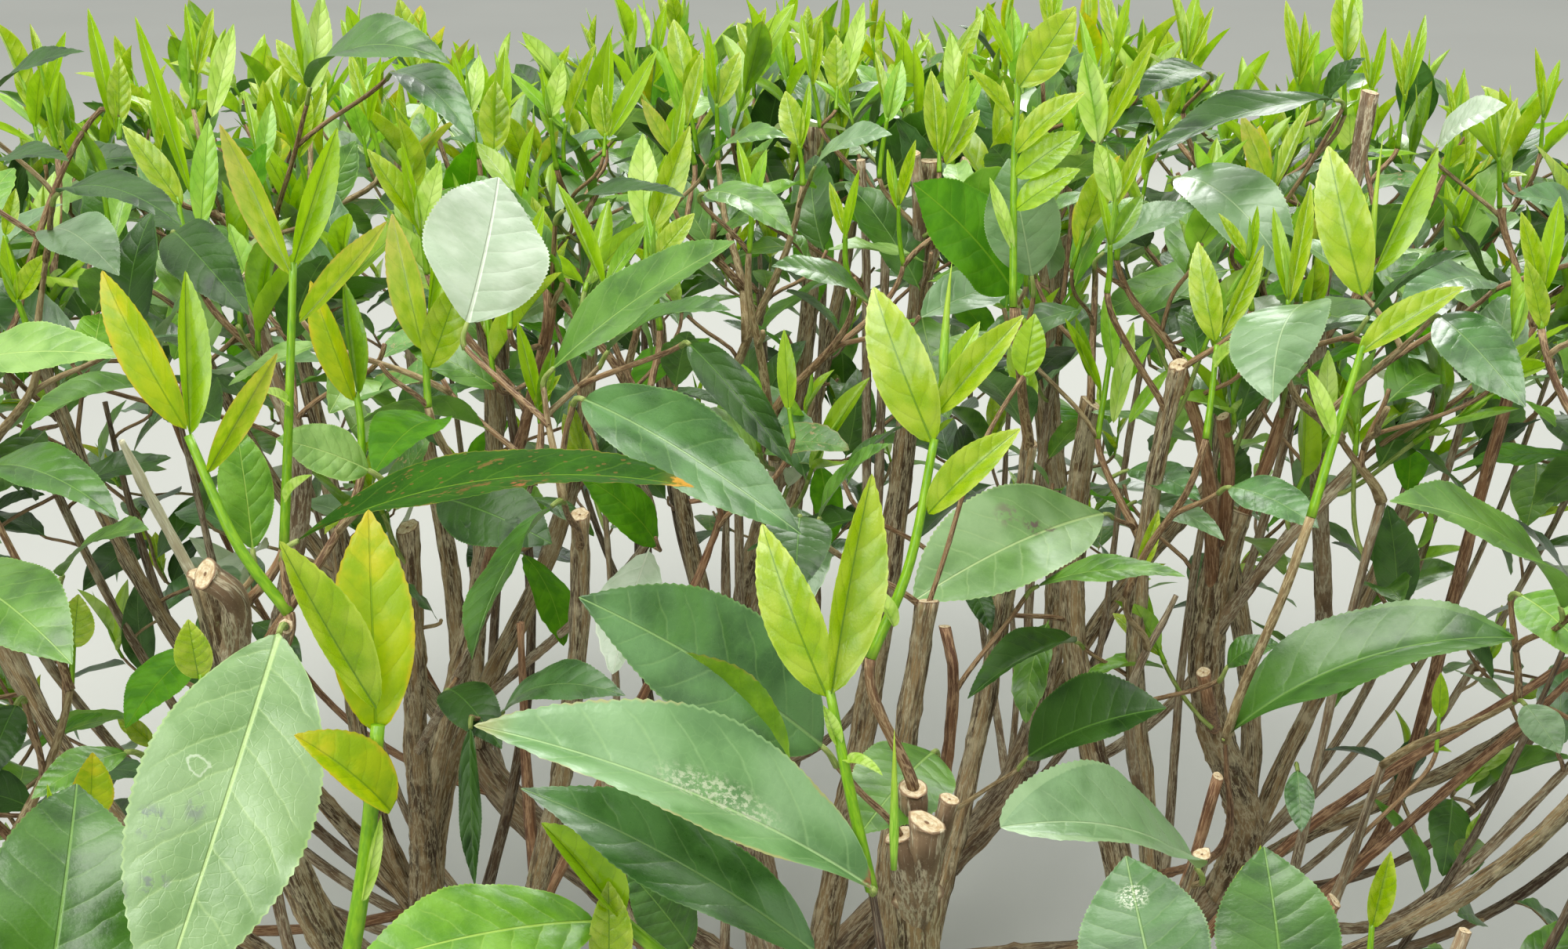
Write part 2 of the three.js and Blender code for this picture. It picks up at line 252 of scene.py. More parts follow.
def add_tubes(piece, path, radius, sides, slot=0, columns=None, relief=None, tilt=None, close=True, level=False, shift=0.0):
    """Adds tubes to a piece, closed at the tip by a small fan and at the foot by another, and returns their last rings."""
    n, k = path.shape[:2]
    ring, run, tan = tube_rings(path, radius, sides, relief, tilt, level)
    quad, j, jn = tube_faces(n, k, sides)
    body = ring.reshape(n, k * sides, 3)
    extra = np.stack((path[:, 0], ring[:, -1].mean(axis=1)), axis=1)
    verts = np.concatenate((body, extra), axis=1)
    m = verts.shape[1]
    offs = (np.arange(n) * m)[:, None, None]
    faces = (quad[None] + offs).reshape(-1, 4)
    u0, u1 = j / sides, (j + 1) / sides
    uq = np.stack((u0, u1, u1, u0), axis=-1)
    uq = np.broadcast_to(uq[None, None], (n, k - 1, sides, 4))
    v = run
    vq = np.stack(
        [np.broadcast_to(a[:, :, None], (n, k - 1, sides)) for a in (v[:, :-1], v[:, :-1], v[:, 1:], v[:, 1:])], axis=-1
    )
    uv = np.stack((uq, vq), axis=-1).reshape(n, -1, 2)
    faces_all, uv_all = [faces], [uv]
    if close:
        foot = np.stack((jn, j, np.full(sides, k * sides)), axis=-1)
        tip = np.stack(((k - 1) * sides + j, (k - 1) * sides + jn, np.full(sides, k * sides + 1)), axis=-1)
        fan = np.concatenate((foot, tip))
        faces_all.append((fan[None] + offs).reshape(-1, 3))
        uf = np.stack((u1, u0, (u0 + u1) / 2), axis=-1)
        ut = np.stack((u0, u1, (u0 + u1) / 2), axis=-1)
        vf = np.zeros((n, sides, 3))
        vt = np.broadcast_to(v[:, -1, None, None], (n, sides, 3))
        uvf = np.stack((np.broadcast_to(uf, (n, sides, 3)), vf), axis=-1)
        uvt = np.stack((np.broadcast_to(ut, (n, sides, 3)), vt), axis=-1)
        uv_all.append(np.concatenate((uvf, uvt), axis=1).reshape(n, -1, 2))
    # the faces go in by kind, so the loops do as well
    flat = np.concatenate([a.reshape(-1, 2) for a in uv_all])
    layers = {}
    if "bark" in piece.layers:
        layers["bark"] = flat + np.array((0.0, shift))
    if "OFBake" in piece.layers:
        if columns is None:
            tall = max(float(v.max()), 1e-6)
            layers["OFBake"] = flat * np.array((0.96, 0.96 / tall)) + 0.02
        else:
            # each tube has a column of the atlas of its own
            col, of = columns
            parts = []
            for a in uv_all:
                c = (np.arange(n) + col)[:, None]
                tall = np.maximum(v[:, -1], 1e-6)[:, None]
                w = 1.0 / of
                parts.append(
                    np.stack(((c + 0.04 + 0.92 * a[..., 0]) * w, 0.01 + 0.98 * a[..., 1] / tall), axis=-1).reshape(-1, 2)
                )
            layers["OFBake"] = np.concatenate(parts)
    piece.add(verts, faces_all, slot, **layers)
    return ring[:, -1], tan[:, -1]


# ------------------------------------------------------------------ limbs, as in the frame
MM = 0.001
TRUNK_H, TRUNK_R, FLARE = 84 * MM, 43 * MM, 1.62
BOUGHS = (
    ("bough_left", (-246, -10, 150), 17.5, 13.5), ("bough_left_front", (-182, -214, 160), 16, 12.5),
    ("bough_front", (40, -236, 156), 16, 12.5), ("bough_right_front", (200, -172, 164), 15, 12),
    ("bough_right", (306, 12, 154), 18, 14.5), ("bough_right_back", (202, 218, 162), 15.5, 12),
    ("bough_back", (-42, 256, 166), 16, 12.5), ("bough_left_back", (-246, 186, 162), 15.5, 12),
)
STEMS = (
    ("stem_left_1", "bough_left", (-203, -131, 478), 9.6, 5.6, 5), ("stem_left_2", "bough_left", (-176, -14, 572), 8.6, 4.8, -5),
    ("stem_left_3", "bough_left", (-118, 22, 604), 8.2, 4.4, 6), ("stem_left_4", "bough_left", (-402, -96, 566), 6.8, 3.8, -7),
    ("stem_left_5", "bough_left", (-300, 12, 590), 7.2, 4.0, 6),
    ("stem_left_front_1", "bough_left_front", (-204, -438, 595), 9.2, 6.0, 4),
    ("stem_left_front_2", "bough_left_front", (-352, -322, 560), 6.8, 3.8, -6),
    ("stem_left_front_3", "bough_left_front", (-86, -318, 566), 7.0, 4.2, 6),
    ("stem_front_1", "bough_front", (47, -471, 520), 11, 8.6, -5), ("stem_front_2", "bough_front", (61, -325, 529), 8.2, 5.0, 5),
    ("stem_front_3", "bough_front", (117, -217, 560), 7.4, 4.2, -3), ("stem_front_4", "bough_front", (-62, -452, 548), 7.0, 4.2, 6),
    ("stem_right_front_1", "bough_right_front", (190, -196, 592), 7.4, 4.2, 4),
    ("stem_right_front_2", "bough_right_front", (380, -350, 545), 5.8, 3.6, -6),
    ("stem_right_front_3", "bough_right_front", (152, -458, 492), 5.6, 3.2, 5),
    ("stem_right_1", "bough_right", (243, -134, 500), 12.2, 9.0, 4), ("stem_right_2", "bough_right_front", (166, -106, 540), 9.6, 6.4, -4),
    ("stem_right_3", "bough_right", (470, -170, 520), 5.8, 3.4, -8), ("stem_right_4", "bough_right", (420, 40, 580), 6.8, 3.8, 6),
    ("stem_right_5", "bough_right", (300, 92, 606), 7.8, 4.2, -5),
    ("stem_right_back_1", "bough_right_back", (196, 208, 640), 8.6, 4.6, 5),
    ("stem_right_back_2", "bough_right_back", (236, 400, 590), 8.4, 4.4, -6),
    ("stem_right_back_3", "bough_right_back", (404, 262, 580), 7.2, 4.0, 6),
    ("stem_back_1", "bough_back", (18, 150, 640), 9.2, 5.6, -4), ("stem_back_2", "bough_back", (-128, 424, 588), 8.6, 4.4, 6),
    ("stem_back_3", "bough_back", (66, 446, 584), 8.4, 4.4, -6),
    ("stem_left_back_1", "bough_left_back", (-196, 176, 640), 8.8, 4.6, 5),
    ("stem_left_back_2", "bough_left_back", (-300, 352, 584), 8.4, 4.4, -6),
    ("stem_left_back_3", "bough_left_back", (-436, 190, 574), 7.2, 4.0, 6),
    ("stem_middle", "trunk", (84, -2, 650), 10.5, 6.4, -6),
)
HALF_X, HALF_Y, TOP, DOME = 0.655, 0.615, 0.716, 0.046
STEM_HOLD = 0.5


def limb_path(start, end, out, rise, sway, rings, hold=0.36):
    """A limb's centre line: it sets off along out, comes in along rise for longer as hold grows, and snakes a little."""
    span = end - start
    length = np.linalg.norm(span)
    side = np.array((-span[1], span[0], 0.0))
    side = unit(side) if np.linalg.norm(side) > 1e-3 else RIGHT.copy()
    p1, p2 = start + out * 0.34 * length, end - rise * hold * length
    t = np.linspace(0, 1, rings)[:, None]
    line = start * (1 - t) ** 3 + 3 * p1 * t * (1 - t) ** 2 + 3 * p2 * t * t * (1 - t) + end * t**3
    return line + side * (sway * MM * 1.3 * np.sin(2 * math.pi * t))


LIMBS = {"trunk": (np.array((12.0, -4.0, 70.0)) * MM, unit((0.12, 0.05, 0.99)))}
limb_data = {}                       # name: (path, radii)
for name, end, r0, r1 in BOUGHS:
    end = np.array(end) * MM
    flat = unit((end[0], end[1], 0.0))
    start = flat * TRUNK_R * 0.5 + np.array((3.6, -1.8, 84 * 0.62)) * MM
    out = unit(flat * 0.9 + np.array((0, 0, 0.42)))
    rise = unit(flat * 0.5 + np.array((0, 0, 0.86)))
    path = limb_path(start, end, out, rise, 3.5, 64)
    t = np.linspace(0, 1, 64)
    limb_data[name] = (path, (r0 + (r1 - r0) * t) * (1 + 0.16 * np.exp(-t / 0.06)) * MM)
    LIMBS[name] = (end, rise)
for name, parent, top, r0, r1, sway in STEMS:
    top = np.array(top) * MM
    p_end, p_rise = LIMBS[parent]
    start = p_end - p_rise * 6 * MM
    toward = unit(top - start)
    out = unit(toward * 0.75 + p_rise * 0.35)
    start = start + unit((toward[0], toward[1], 0)) * r0 * MM * 0.75
    rise = unit((top[0] * 0.4, top[1] * 0.4, 1.0))
    path = limb_path(start, top, out, rise, sway, 110, STEM_HOLD)
    t = np.linspace(0, 1, 110)
    limb_data[name] = (path, (r0 + (r1 - r0) * t) * (1 + 0.12 * np.exp(-t / 0.06)) * MM)
    LIMBS[name] = (top, rise)


def table_height(x, y):
    """Height of the plucked table over a place, where the tallest shoots end."""
    rim = np.sqrt((x / HALF_X) ** 2 + (y / HALF_Y) ** 2)
    lumps = noise3(np.stack((np.asarray(x) * 9 + 3, np.asarray(y) * 9 + 1, np.zeros_like(x)), axis=-1), 5)
    return TOP - DOME * np.minimum(rim, 1.1) ** 3 + 0.009 * lumps


def bark_relief(depth, ridge, seed, joints=0.032):
    """A factor on the radius: long fissures between ridges, with swollen joints where leaves once stood."""

    def relief(angle, run, radius):
        angle, run, radius = np.broadcast_arrays(angle, run, radius)
        around = np.stack((np.cos(angle) * radius, np.sin(angle) * radius, run * 0.13), axis=-1) / ridge
        a = noise3(around + 11.3, seed)
        b = noise3(around * np.array((2.1, 2.1, 2.6)) + 4.7, seed + 1)
        long = np.stack((np.cos(angle) * radius, np.sin(angle) * radius, run * 0.5), axis=-1) / (ridge * 5)
        lump = noise3(long, seed + 2)
        fissure = 1.0 - np.abs(a) * 2.1
        h = depth * (np.clip(fissure, -0.6, 1.0) * -0.9 + 0.45 * b) + radius * 0.075 * lump
        place = run / joints + 0.35 * noise3(np.stack((run * 9, run * 0, run * 0 + seed), axis=-1), seed)
        near = np.abs(place - np.round(place)) * joints
        which = np.round(place)
        strong = 0.5 + 0.5 * np.sin(which * 12.9898 + seed)
        facing = np.cos(angle - which * 2.4)
        h = h + (0.055 + 0.07 * strong * np.clip(facing, 0, 1)) * radius * np.exp(-((near / 0.0028) ** 2))
        return 1.0 + h / radius

    return relief


# ------------------------------------------------------------------ the skeleton that twigs grow on
class Skeleton:
    """Points that a new twig may spring from: place, direction of the wood there, and the wood they belong to."""

    def __init__(self):
        self.p, self.t, self.r, self.chain, self.up = [], [], [], [], []
        self.n = 0

    def grow(self, path, radii, spring=None, start=0.0):
        """Adds a path's points from a share start of its length on. spring is the index of the point it left."""
        k = len(path)
        tan = unit(np.gradient(path, axis=0))
        first = max(int(k * start), 0)
        ids = np.arange(self.n, self.n + k - first)
        up = np.concatenate(([(-1 if spring is None else spring)], ids[:-1]))
        self.p.append(path[first:]), self.t.append(tan[first:])
        self.r.append(np.broadcast_to(radii, (k,))[first:]), self.up.append(up)
        self.n += k - first
        return ids

    def arrays(self):
        return np.concatenate(self.p), np.concatenate(self.t), np.concatenate(self.r), np.concatenate(self.up)


def through(points, rings):
    """A smooth line through the points, cut into evenly spaced rings."""
    p = np.asarray(points, float)
    if len(p) == 2:
        p = np.stack((p[0], (p[0] + p[1]) / 2, p[1]))
    q = np.vstack((2 * p[0] - p[1], p, 2 * p[-1] - p[-2]))
    t = np.linspace(0, 1, 20, endpoint=False)[:, None]
    bits = []
    for i in range(len(p) - 1):
        a, b, c, d = q[i : i + 4]
        bits.append(0.5 * (2 * b + (c - a) * t + (2 * a - 5 * b + 4 * c - d) * t**2 + (3 * b - a - 3 * c + d) * t**3))
    line = np.concatenate(bits + [p[-1:]])
    s = np.concatenate(([0], np.cumsum(np.linalg.norm(np.diff(line, axis=0), axis=1))))
    want = np.linspace(0, s[-1], rings)
    return np.stack([np.interp(want, s, line[:, k]) for k in range(3)], axis=1)


def bent(start, end, out, rise, rings, wobble=0.0, hand=0.3):
    """A twig's line from start to end, leaving along out and arriving along rise."""
    length = np.linalg.norm(end - start)
    p1, p2 = start + out * hand * length, end - rise * hand * length
    t = np.linspace(0, 1, rings)[:, None]
    line = start * (1 - t) ** 3 + 3 * p1 * t * (1 - t) ** 2 + 3 * p2 * t * t * (1 - t) + end * t**3
    if wobble:
        side = unit(np.cross(end - start, RNG.normal(size=3)))
        line = line + side * (wobble * length * np.sin(t * math.pi) * np.sin(t * RNG.uniform(5, 9) + RNG.uniform(0, 6)))
    return line


skel = Skeleton()
for name, parent, top, r0, r1, sway in STEMS:
    path, radii = limb_data[name]
    skel.grow(path[::2], radii[::2], start=0.42)
for name, *_ in BOUGHS:
    path, radii = limb_data[name]
    limb_data[name] = (path, radii)

# --- canes: thin upright stems between the thick ones, many ended by a cut
canes = []                           # (path, foot radius, top radius, cut at the top, tone)


def add_cane(path, r0, r1, cut, tone=0, keep=0.35):
    canes.append((path, r0, r1, cut, tone))
    k = len(path)
    skel.grow(path, np.linspace(r0, r1, k), start=keep)


BOUGH_ENDS = {n: (np.array(e) * MM) for n, e, _, _ in BOUGHS}


def nearest_bough(x, y):
    """The bough whose end lies nearest in plan."""
    best = min(BOUGH_ENDS, key=lambda n: (BOUGH_ENDS[n][0] - x * 0.55) ** 2 + (BOUGH_ENDS[n][1] - y * 0.55) ** 2)
    return best


FROM_RIGHT_FRONT = limb_data["bough_right_front"][0][-3]
FROM_RIGHT = limb_data["bough_right"][0][-4]
FROM_LEFT_FRONT = limb_data["bough_left_front"][0][-3]
FROM_LEFT = limb_data["bough_left"][0][-4]
FROM_FRONT = limb_data["bough_front"][0][-3]


def on_stem(name, share):
    path = limb_data[name][0]
    return path[int(round(share * (len(path) - 1)))]


SHOWN_CANES = (
    # points as (pixel x, pixel y, depth) after the foot; radii in mm; cut; tone 0 grey bark, 1 red-brown
    (FROM_RIGHT_FRONT, ((1640, 1080, .98), (2000, 845, .90), (2100, 740, .88)), 3.6, 2.6, False, 1),
    (FROM_RIGHT_FRONT, ((1700, 1130, .99), (1990, 880, .93), (2080, 770, .92)), 3.4, 2.4, False, 1),
    (FROM_RIGHT, ((1760, 1180, 1.04), (1990, 990, .99), (2090, 850, .98)), 3.8, 2.8, False, 0),
    (on_stem("stem_left_front_1", .97), ((200, 650, .615), (155, 562, .60)), 2.3, 1.8, False, 2),
    (on_stem("stem_left_2", .55), ((690, 460, .84), (700, 368, .82)), 3.6, 2.9, True, 1),
    (on_stem("stem_left_1", .60), ((600, 830, .77), (670, 640, .74), (690, 580, .73)), 3.0, 2.0, False, 0),
    (on_stem("stem_left_4", .45), ((385, 640, .86), (345, 470, .82), (308, 348, .80)), 5.6, 4.6, True, 0),
    (on_stem("stem_right_4", .40), ((1680, 420, 1.0), (1722, 250, .98), (1748, 118, .97)), 5.8, 4.8, True, 0),
    (on_stem("stem_right_1", .80), ((1640, 690, .91), (1735, 590, .89)), 4.2, 3.6, True, 0),
    (on_stem("stem_right_1", .60), ((1542, 900, .92), (1535, 858, .90)), 4.2, 3.4, True, 1),
    (on_stem("stem_right_1", .86), ((1540, 600, .90), (1503, 460, .88)), 4.4, 3.2, True, 1),
    (on_stem("stem_right_1", .90), ((1566, 610, .92), (1560, 532, .91)), 4.6, 3.4, True, 1),
    (on_stem("stem_right_1", .93), ((1612, 600, .93), (1640, 518, .92)), 4.4, 3.2, True, 1),
    (on_stem("stem_front_3", .25), ((1600, 1290, .70), (1650, 1215, .66), (1702, 1150, .65)), 3.8, 3.0, True, 1),
    (on_stem("stem_middle", .45), ((1105, 360, 1.06), (1098, 205, 1.04)), 3.4, 2.6, True, 0),
    (on_stem("stem_middle", .50), ((1130, 330, 1.06), (1136, 198, 1.04)), 3.4, 2.6, True, 0),
    (on_stem("stem_middle", .88), ((1172, 260, 1.0), (1166, 196, 0.99)), 4.2, 3.4, True, 0),
    (on_stem("stem_middle", .90), ((1212, 250, 1.0), (1232, 206, 0.99)), 4.0, 3.2, True, 0),
    (on_stem("stem_left_front_1", .93), ((300, 770, .60), (262, 733, .59)), 5.2, 5.0, True, 0),
    (on_stem("stem_front_1", .80), ((1136, 1262, .53), (1113, 1140, .507)), 2.5, 2.0, False, 3),
    (on_stem("stem_left_front_1", .80), ((336, 900, .60), (364, 800, .548)), 2.9, 2.5, True, 0),
    (on_stem("stem_right_front_1", .35), ((1560, 1080, .80), (1563, 946, .722)), 2.6, 1.7, False, 1),
    (on_stem("stem_front_3", .35), ((1215, 900, .80), (1205, 800, .79)), 3.4, 2.6, True, 1),
    (on_stem("stem_right_front_1", .40), ((1440, 900, .86), (1500, 760, .84)), 3.4, 2.4, False, 0),
    (on_stem("stem_left_3", .35), ((820, 700, .96), (790, 560, .92)), 3.2, 2.4, False, 0),
    (on_stem("stem_left_front_3", .30), ((905, 700, .84), (880, 640, .82)), 3.2, 2.2, False, 1),
)
for foot, points, r0, r1, cut, tone in SHOWN_CANES:
    line = through([foot] + [at(*q) for q in points], 28)
    add_cane(line, r0 * MM, r1 * MM, cut, tone)

# four stubs on the near stem's head, each sawn on its own slope
for px, py, depth, r in ((1165, 1006, .612, 5.0), (1148, 1066, .600, 5.2), (1182, 1050, .594, 5.6), (1211, 1020, .606, 3.4)):
    line = through((on_stem("stem_front_1", .90), at(px + (1171 - px) * 0.2, py + 32, depth + .004), at(px, py, depth)), 12)
    add_cane(line, r * MM * 1.15, r * MM, True, 0, keep=0.8)


def scatter(count, spacing, sample, taken=None):
    """Up to count places from sample(), none nearer than spacing to another."""
    kept = [] if taken is None else list(taken)
    own = []
    for _ in range(count):
        p = sample()
        if p is None:
            continue
        gap = spacing(p) if callable(spacing) else spacing
        if kept:
            d = np.linalg.norm(np.asarray(kept) - p, axis=1).min()
            if d < gap:
                continue
        kept.append(p)
        own.append(p)
    return own


def cane_place():
    a, r = RNG.uniform(0, 2 * math.pi), math.sqrt(RNG.uniform(0.004, 0.80))
    return np.array((math.cos(a) * r * HALF_X, math.sin(a) * r * HALF_Y, 0.0))


tops = [np.array((LIMBS[s[0]][0][0], LIMBS[s[0]][0][1], 0.0)) for s in STEMS]
for p in scatter(900, 0.088, cane_place, tops):
    rim = math.hypot(p[0] / HALF_X, p[1] / HALF_Y)
    high = 0.60 - 0.07 * rim + RNG.uniform(-0.10, 0.03)
    top = np.array((p[0], p[1], high))
    if p[1] < -0.28 and abs(p[0]) < 0.55:
        top[2] = min(top[2], 0.50 + RNG.uniform(-0.06, 0.0))
    name = nearest_bough(p[0], p[1])
    share = float(np.clip(RNG.uniform(0.45, 1.0), 0, 1))
    path = limb_data[name][0]
    foot = path[int(share * (len(path) - 1))]
    toward = unit(top - foot)
    out = unit((toward[0], toward[1], 0.10))
    rise = unit((p[0] * 0.35, p[1] * 0.35, 1.0))
    line = limb_path(foot, top, out, rise, RNG.uniform(-8, 8), 30, 0.58)
    r0 = RNG.uniform(3.0, 4.8) * MM
    add_cane(line, r0, r0 * RNG.uniform(0.55, 0.72), bool(RNG.uniform() < 0.6), int(RNG.choice((0, 0, 0, 0, 1, 3, 3))))
print("canes", len(canes))


# ------------------------------------------------------------------ leaves
LEAF = dict(
    base=None, along=None, face=None, length=0.08, width=0.034, a=0.90, b=1.02, bend=0.5, bend2=0.0, fold=0.2,
    curl=0.02, wave=0.02, phase=0.0, waves=1.6, twist=0.0, sway=0.0, quilt=0.0005, pleats=8, stalk=0.05, tooth=0.026,
    variant=0, shown=False, grade=1,
)


def leaf(**given):
    d = dict(LEAF)
    d.update(given)
    return d


def leaf_sheets(many, rows, cols):
    """Single-sheet blades (n, m, 3) with their own coordinates (n, m, 2), and the faces of one."""
    get = lambda k: np.array([d[k] for d in many], float)
    base, along = get("base"), unit(get("along"))
    face = square_to(get("face"), along)
    L, W = get("length"), get("width")
    stalk = get("stalk")
    n = len(many)
    k = np.arange(rows + 1)
    even = k / rows
    # the first step is the leaf's short stalk
    later = np.clip((k - 1) / (rows - 1), 0, 1)
    v = np.where(stalk[:, None] > 1e-6, stalk[:, None] + (1 - stalk[:, None]) * later[None], even[None])
    v[:, 0] = 0.0
    u = np.clip((v - stalk[:, None]) / (1 - stalk[:, None]), 0, 1)
    a, b = get("a")[:, None], get("b")[:, None]
    top = (a / (a + b)) ** a * (b / (a + b)) ** b
    wn = u**a * (1 - u) ** b / top
    half = wn * W[:, None] / 2 + 0.0007 * (1 - u)
    th = get("bend")[:, None] * u + get("bend2")[:, None] * u * u
    ct, st = np.cos(th)[..., None], np.sin(th)[..., None]
    t = ct * along[:, None] - st * face[:, None]
    nn = st * along[:, None] + ct * face[:, None]
    step = np.diff(v, axis=1)[..., None] * L[:, None, None]
    mid = unit((t[:, 1:] + t[:, :-1]) / 2)
    p = base[:, None] + np.concatenate((np.zeros((n, 1, 3)), np.cumsum(mid * step, axis=1)), axis=1)
    bb = np.cross(t, nn)
    tw = (get("twist")[:, None] * u)[..., None]
    b2 = bb * np.cos(tw) + nn * np.sin(tw)
    n2 = -bb * np.sin(tw) + nn * np.cos(tw)
    p = p + bb * (get("sway")[:, None] * L[:, None] * u * u)[..., None]
    c = np.linspace(-1, 1, cols + 1)
    tooth = get("tooth")[:, None]
    trim = np.ones((n, rows + 1, cols + 1))
    nudge = np.zeros((n, rows + 1, cols + 1))
    if rows >= 18:
        out = (k % 2 == 1).astype(float)[None]
        for edge in (0, cols):
            trim[:, :, edge] = 1 - tooth * (1 - out)
            nudge[:, :, edge] = 0.35 / rows * out * L[:, None]
    s = c[None, None] * half[..., None] * trim
    X = np.abs(c)[None, None] * wn[..., None]
    fold = (get("fold")[:, None] * (1 - 0.25 * u))[..., None]
    ph = (u[..., None] - 0.165 * X - 0.058 * X * X) * get("pleats")[:, None, None] + np.where(c > 0, 0.5, 0.0)[None, None]
    puff = np.abs(np.sin(math.pi * ph)) - 0.5
    h = np.abs(s) * np.sin(fold) - get("curl")[:, None, None] * s * s / np.maximum(W[:, None, None], 1e-6) * 4
    h = h + get("quilt")[:, None, None] * puff * X * (1.15 - X) * 3.2
    h = h + (
        get("wave")[:, None, None] * L[:, None, None] * np.abs(c)[None, None] ** 1.6
        * np.sin(2 * math.pi * get("waves")[:, None, None] * u[..., None] + get("phase")[:, None, None] + np.where(c > 0, 1.7, 0.0)[None, None])
        * np.sin(math.pi * u)[..., None]
    )
    pts = p[:, :, None] + b2[:, :, None] * (s * np.cos(fold))[..., None] + n2[:, :, None] * h[..., None] + t[:, :, None] * nudge[..., None]
    own = np.stack((0.5 + 0.5 * c[None, None] * wn[..., None], np.broadcast_to(v[..., None], X.shape)), axis=-1)
    inner = pts[:, 1:rows].reshape(n, -1, 3)
    verts = np.concatenate((pts[:, 0, cols // 2][:, None], inner, pts[:, rows, cols // 2][:, None]), axis=1)
    uv = np.concatenate(
        (own[:, 0, cols // 2][:, None], own[:, 1:rows].reshape(n, -1, 2), own[:, rows, cols // 2][:, None]), axis=1
    )
    w = cols + 1
    j = np.arange(cols)
    i = np.arange(rows - 2)[:, None]
    quads = np.stack((1 + i * w + j, 1 + i * w + j + 1, 1 + (i + 1) * w + j + 1, 1 + (i + 1) * w + j), axis=-1).reshape(-1, 4)
    last = 1 + (rows - 2) * w
    fans = np.concatenate(
        (
            np.stack((np.zeros(cols, int), 1 + j + 1, 1 + j), axis=-1),
            np.stack((np.full(cols, verts.shape[1] - 1), last + j, last + j + 1), axis=-1),
        )
    )
    return verts, uv, quads, fans


def add_leaves(piece, many, rows, cols, across, down):
    """Adds blades to a piece. Blades of one variant share one cell of the atlas."""
    if not many:
        return
    verts, uv, quads, fans = leaf_sheets(many, rows, cols)
    n, m = verts.shape[:2]
    offs = (np.arange(n) * m)[:, None, None]
    variant = np.array([d["variant"] for d in many])
    cells = np.array([cell(int(q), across, down) for q in range(across * down)])
    q = (quads[None] + offs).reshape(-1, 4)
    f = (fans[None] + offs).reshape(-1, 3)
    own = np.concatenate((uv[:, quads.ravel()].reshape(-1, 2), uv[:, fans.ravel()].reshape(-1, 2)))
    of = np.concatenate((np.repeat(variant, quads.size), np.repeat(variant, fans.size)))
    box = cells[of]
    baked = box[:, :2] + box[:, 2:] * own
    slots = np.concatenate((np.repeat(variant, len(quads)), np.repeat(variant, len(fans))))
    piece.add(verts, [q, f], slots, leafuv=own, OFBake=baked)


mature, young = [], []               # every blade of the bush
petioles = []                        # (path, foot radius, tip radius)
shoot_stems = []                     # (path, foot radius, tip radius)
buds = []                            # (base, direction, length, radius, bend, variant)
twigs = []                           # (path, parent, tip radius, tone)

DARK, DEEP, MID, TEAL, SLATE_PAINTED_SHEEN, PALE, LIGHT, BACKLIT, WORN, PAINTED_SHEEN, OLIVE, MARKED, SCALY, BRUISED, FLECKED = range(15)
LIME, AMBER, FRESH, MILKY, GREEN, GOLD, SOFT = range(7)


def shown(base, tip, ratio, face=0.5, roll=0.0, arch=30, kind=MID, fold=0.22, **more):
    """A blade placed by the pixels and depths of its base and tip."""
    p, q = at(*base), at(*tip)
    chord = q - p
    far = np.linalg.norm(chord)
    c = chord / far
    eye = unit(EYE - (p + q) / 2)
    n = square_to((1 - abs(face)) * np.array((0, 0, 1.0)) + face * eye, c)
    n = turned(n, c, math.radians(roll))
    h = math.radians(arch) / 2
    along = math.cos(h) * c + math.sin(h) * n
    up = -math.sin(h) * c + math.cos(h) * n
    length = far * (h / math.sin(h) if abs(h) > 1e-4 else 1.0)
    return leaf(
        base=p, along=along, face=up, length=length, width=ratio * length, bend=2 * h, fold=fold, variant=kind,
        phase=RNG.uniform(0, 6), shown=True, grade=0, stalk=more.pop("stalk", 0.0), **more,
    )


